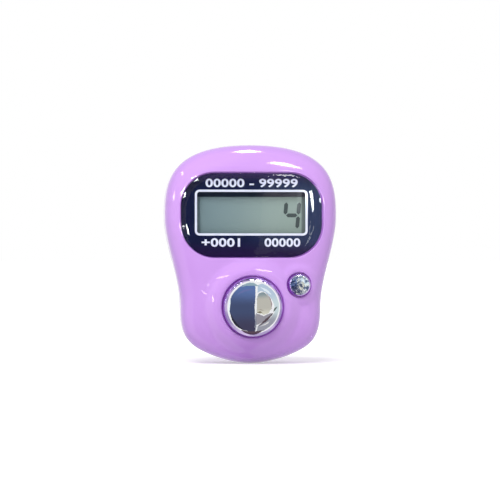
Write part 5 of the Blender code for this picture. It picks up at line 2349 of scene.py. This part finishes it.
def button_cards() -> list[Card]:
    """What the count button mirrors: dark, tan and pale sides of the room, and lines between them.

    Returns:
        The cards.
    """
    button = Mirror.BUTTON
    dark = (Fade("Z", -8, 17, (0.125, 0.20, 0.44)), Fade("Z", -14, -34, (0.066, 0.062, 0.118)))
    tan = (Fade("Z", 1, 10, (0.26, 0.34, 0.37)), Fade("Z", -9, -19, (0.76, 0.74, 0.60)))
    pale = (Fade("Z", -4, 8, (0.53, 0.65, 0.78)), Fade("Z", -12, -26, (0.37, 0.375, 0.43)))
    lines = (
        ("brown_line", streak((2.95, -0.88), (0.7, -2.85), 0.36, 0.1), (0.12, 0.085, 0.10)),
        ("petal_line", streak((1.5, 2.45), (2.65, -0.6), 0.13, 0.5), (0.30, 0.20, 0.22)),
        ("petal_crease", streak((0.5, -0.35), (1.5, -0.55), 0.14, 0.08), (0.44, 0.40, 0.34)),
        ("olive_line", streak((0.4, -0.8), (1.3, -0.95), 0.24, 0.12), (0.26, 0.23, 0.16)),
        ("green_tick", streak((2.9, -0.75), (3.65, 0.2), 0.2), (0.09, 0.12, 0.10)),
        ("black_arc", streak((-3.6, -0.9), (-1.3, -3.6), 0.34, -0.45), (0.03, 0.03, 0.05)),
        ("foot_line", streak((-2.0, -3.5), (1.6, -3.45), 0.54, -0.5), (0.12, 0.075, 0.105)),
        ("blue_top", streak((-1.9, 3.1), (0.9, 3.15), 0.45, 0.42), (0.33, 0.46, 0.52)),
        ("pale_glare", streak((0.9, 3.05), (2.7, 1.9), 0.3, 0.12), (0.86, 0.95, 1.0)),
        ("blue_streak", streak((-2.6, 1.9), (0.0, 2.75), 0.3, 0.25), (0.155, 0.19, 0.42)),
        ("grey_line", streak((0.2, -1.0), (0.28, -3.75), 0.22), (0.27, 0.28, 0.35)),
        ("low_glare", streak((0.9, -2.95), (2.5, -2.1), 0.2, -0.06), (0.85, 0.83, 0.80)),
        ("left_glare", streak((-3.55, 1.4), (-3.75, -1.0), 0.24, -0.12), (1.0, 1.1, 1.15)),
        ("high_glare", streak((-3.45, 2.1), (-2.0, 3.5), 0.16, 0.12), (1.1, 1.1, 1.1)),
    )
    cards = [
        Card("dark_side", button, on_button(DARK_HALF), (0.069, 0.092, 0.186), fades=dark),
        Card("tan_side", button, on_button(PETAL), (0.57, 0.55, 0.48), fades=tan),
        Card("tan_shade", button, on_button(UNDER_PETAL), (0.36, 0.34, 0.38)),
        Card("pale_side", button, on_button(PALE_SIDE), (0.66, 0.78, 0.80), fades=pale),
    ]
    return cards + [Card(n, button, on_button(o), colour, distance=24.0) for n, o, colour in lines]


def face_cards() -> list[Card]:
    """The lamps that show as bright marks in the lilac face.

    Returns:
        The cards.
    """
    marks = (
        ("top_bar", streak((-2.95, 33.0), (1.65, 33.03), 0.42, 0.1), 30.0, 8.0),
        ("slant_bar", streak((2.3, 31.34), (7.85, 30.41), 0.5, 0.17), 34.0, 6.0),
        ("temple_spot", streak((-10.83, 30.1), (-10.78, 29.3), 0.26), 14.0, 4.0),
        ("shoulder_streak", streak((-12.05, 26.9), (-12.15, 25.3), 0.24), 14.0, 4.0),
        ("mound_arc", streak((0.2, 14.8), (3.2, 14.37), 0.3, 0.03), 11.0, 0.7),
        ("mound_left_arc", streak((-5.8, 13.27), (-3.5, 13.88), 0.26, 0.05), 9.0, 0.5),
        ("mound_spot", streak((-6.26, 10.7), (-6.1, 9.7), 0.22), 14.0, 0.5),
        ("mound_fleck", streak((-7.95, 11.6), (-7.1, 10.85), 0.26), 9.0, 0.5),
        ("mound_high_fleck", streak((-7.1, 12.65), (-6.7, 12.25), 0.28), 12.0, 0.5),
    )
    return [Card(name, Mirror.FACE, o, light=light, distance=far) for name, o, light, far in marks]


def window_cards() -> list[Card]:
    """The lamps that show as streaks in the window.

    Returns:
        The cards.
    """
    marks = (
        ("right_streak", dense(RIGHT_STREAK), 42.0),
        ("right_line", streak((10.52, 26.0), (10.64, 25.0), 0.22), 20.0),
        ("low_right_line", streak((9.6, 21.6), (8.1, 18.3), 0.25, 0.1), 4.0),
        ("low_right_line_2", streak((8.95, 23.0), (8.55, 18.3), 0.2, 0.12), 2.5),
        ("left_streak", streak((-10.05, 27.3), (-10.72, 25.75), 0.24), 38.0),
        ("left_spot", streak((-10.85, 21.95), (-10.54, 21.0), 0.2, -0.05), 14.0),
        ("low_left_streak", streak((-10.25, 22.0), (-9.72, 19.9), 0.24, -0.06), 38.0),
        ("corner_streak", streak((-9.2, 28.42), (-8.35, 29.05), 0.15), 26.0),
        ("edge_line", streak((4.4, 29.58), (7.6, 29.26), 0.1, 0.03), 9.0),
    )
    lamp = (0.92, 0.97, 1.0)
    return [Card(name, Mirror.WINDOW, o, lamp, 2.8 * light, 0.8) for name, o, light in marks]


@dataclass
class Studio:
    """Camera, floor, lamp and the white room.

    Args:
        target: the point at the middle of the picture.
        azimuth: where the camera stands, in degrees, positive to the right.
        distance: the camera's distance in metres.
        focal: focal length in mm on a sensor 36 mm wide.
        floor: height of the floor.
        floor_half: half its width.
        room: brightness of the room for soft light.
        lamp: the soft lamp.
        near: distances from the object between which the floor's shadow fades.
        glow: how much the floor shines near the object.
    """

    target: tuple[float, float, float] = (0.00015, -0.01655, 0.00028)
    azimuth: float = -4.0
    distance: float = 0.352
    focal: float = 160.2
    floor: float = -0.0175
    floor_half: float = 3.0
    room: float = 0.57
    lamp: Lamp = Lamp("key_softbox", -20.0, 45.0, 0.60, (0.30, 0.30), 7.8)
    near: Pair = (0.014, 0.035)
    glow: float = 0.45

    @property
    def eye(self) -> Vector:
        """Where the camera stands."""
        a = math.radians(self.azimuth)
        return Vector(self.target) + Vector((math.sin(a), -math.cos(a), 0.0)) * self.distance

    def camera(self) -> None:
        """Set up the camera in front of the face."""
        data = bpy.data.cameras.new("camera")
        data.lens = self.focal
        data.sensor_width = 36.0
        data.clip_start = 0.01
        made = show("camera", data)
        made.location = self.eye
        made.rotation_euler = (Vector(self.target) - self.eye).to_track_quat("-Z", "Y").to_euler()
        bpy.context.scene.camera = made

    @staticmethod
    def seen(tree: ShaderTree) -> Value:
        """One for rays that show the room: from the camera, off a mirror or through glass.

        Args:
            tree: the tree that asks.

        Returns:
            The answer, wrapped.
        """
        path = tree.add("ShaderNodeLightPath")
        kinds = ("Camera", "Glossy", "Transmission")
        camera, glossy, through = (Value(tree, path.outputs[f"Is {kind} Ray"]) for kind in kinds)
        return camera.most(glossy).most(through)

    def white_room(self) -> None:
        """White where it is seen, and plain soft light everywhere else."""
        world = bpy.data.worlds.new("white_room")
        bpy.context.scene.world = world
        tree = ShaderTree(world)
        seen = self.seen(tree)
        strength = seen + (1.0 - seen) * self.room
        shade = tree.add("ShaderNodeBackground", values={"Color": (1.0, 1.0, 1.0), "Strength": strength})
        tree.add("ShaderNodeOutputWorld", values={"Surface": shade})

    def ground(self) -> None:
        """A pale floor that shows white but keeps the object's shadow."""
        mesh = bpy.data.meshes.new("floor")
        half = self.floor_half
        square = [(x * half, y * half, 0) for x, y in ((-1, -1), (1, -1), (1, 1), (-1, 1))]
        mesh.from_pydata(square, [], [range(4)])
        material = bpy.data.materials.new("pale_floor")
        tree = ShaderTree(material)
        pale = tree.blend(tree.noise(40.0) * 0.3, (0.78, 0.78, 0.78), (0.75, 0.75, 0.75))
        x, y = tree.axis("X"), tree.axis("Y")
        far = ((x * x + y * y) ** 0.5).eased(*self.near)
        glow = self.seen(tree) * (self.glow + (1.0 - self.glow) * far)
        values = {
            "Base Color": pale,
            "Roughness": 1.0,
            "Specular IOR Level": 0.0,
            "Emission Color": tree.blend(glow, (0.0, 0.0, 0.0), (1.0, 1.0, 1.0)),
            "Emission Strength": 1.0,
        }
        tree.finish(tree.add("ShaderNodeBsdfPrincipled", values=values))
        mesh.materials.append(material)
        floor = show("floor", mesh)
        floor.location = (0, self.target[1], self.floor)
        floor.visible_glossy = False
        floor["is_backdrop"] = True

    def build(self) -> None:
        """Set up everything round the object."""
        bpy.context.scene.view_settings.view_transform = "Standard"
        self.camera()
        self.white_room()
        self.ground()
        self.lamp.build(Vector(self.target))
        cards = [*button_cards(), *face_cards(), *window_cards()]
        for card in cards:
            card.build(FACE.read(self.eye))
        log.info("studio: %s and %d cards", self.lamp.name, len(cards))


def corners() -> list[list[float]]:
    """Lowest and highest corner of what is shown, as plain lists."""
    return [list(corner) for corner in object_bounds()]


def main() -> None:
    """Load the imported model, dress it and set up the studio."""
    logging.basicConfig(level=logging.INFO, format="%(message)s")
    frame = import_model()
    Studio().build()
    Internals().dress(frame["nodes"])
    for part in (
        Housing(),
        Window(),
        Display(),
        PushButton("count_button_cap", "count_button", Body.COUNT, COUNT_BUTTON),
        PushButton("reset_button_cap", "reset_button", Body.RESET, RESET_BUTTON, HAMMERED_PAINTED_REFLECTIONS, 64),
        Strap(),
        CaseScrews(),
    ):
        part.build()


if __name__ == "__main__":
    main()
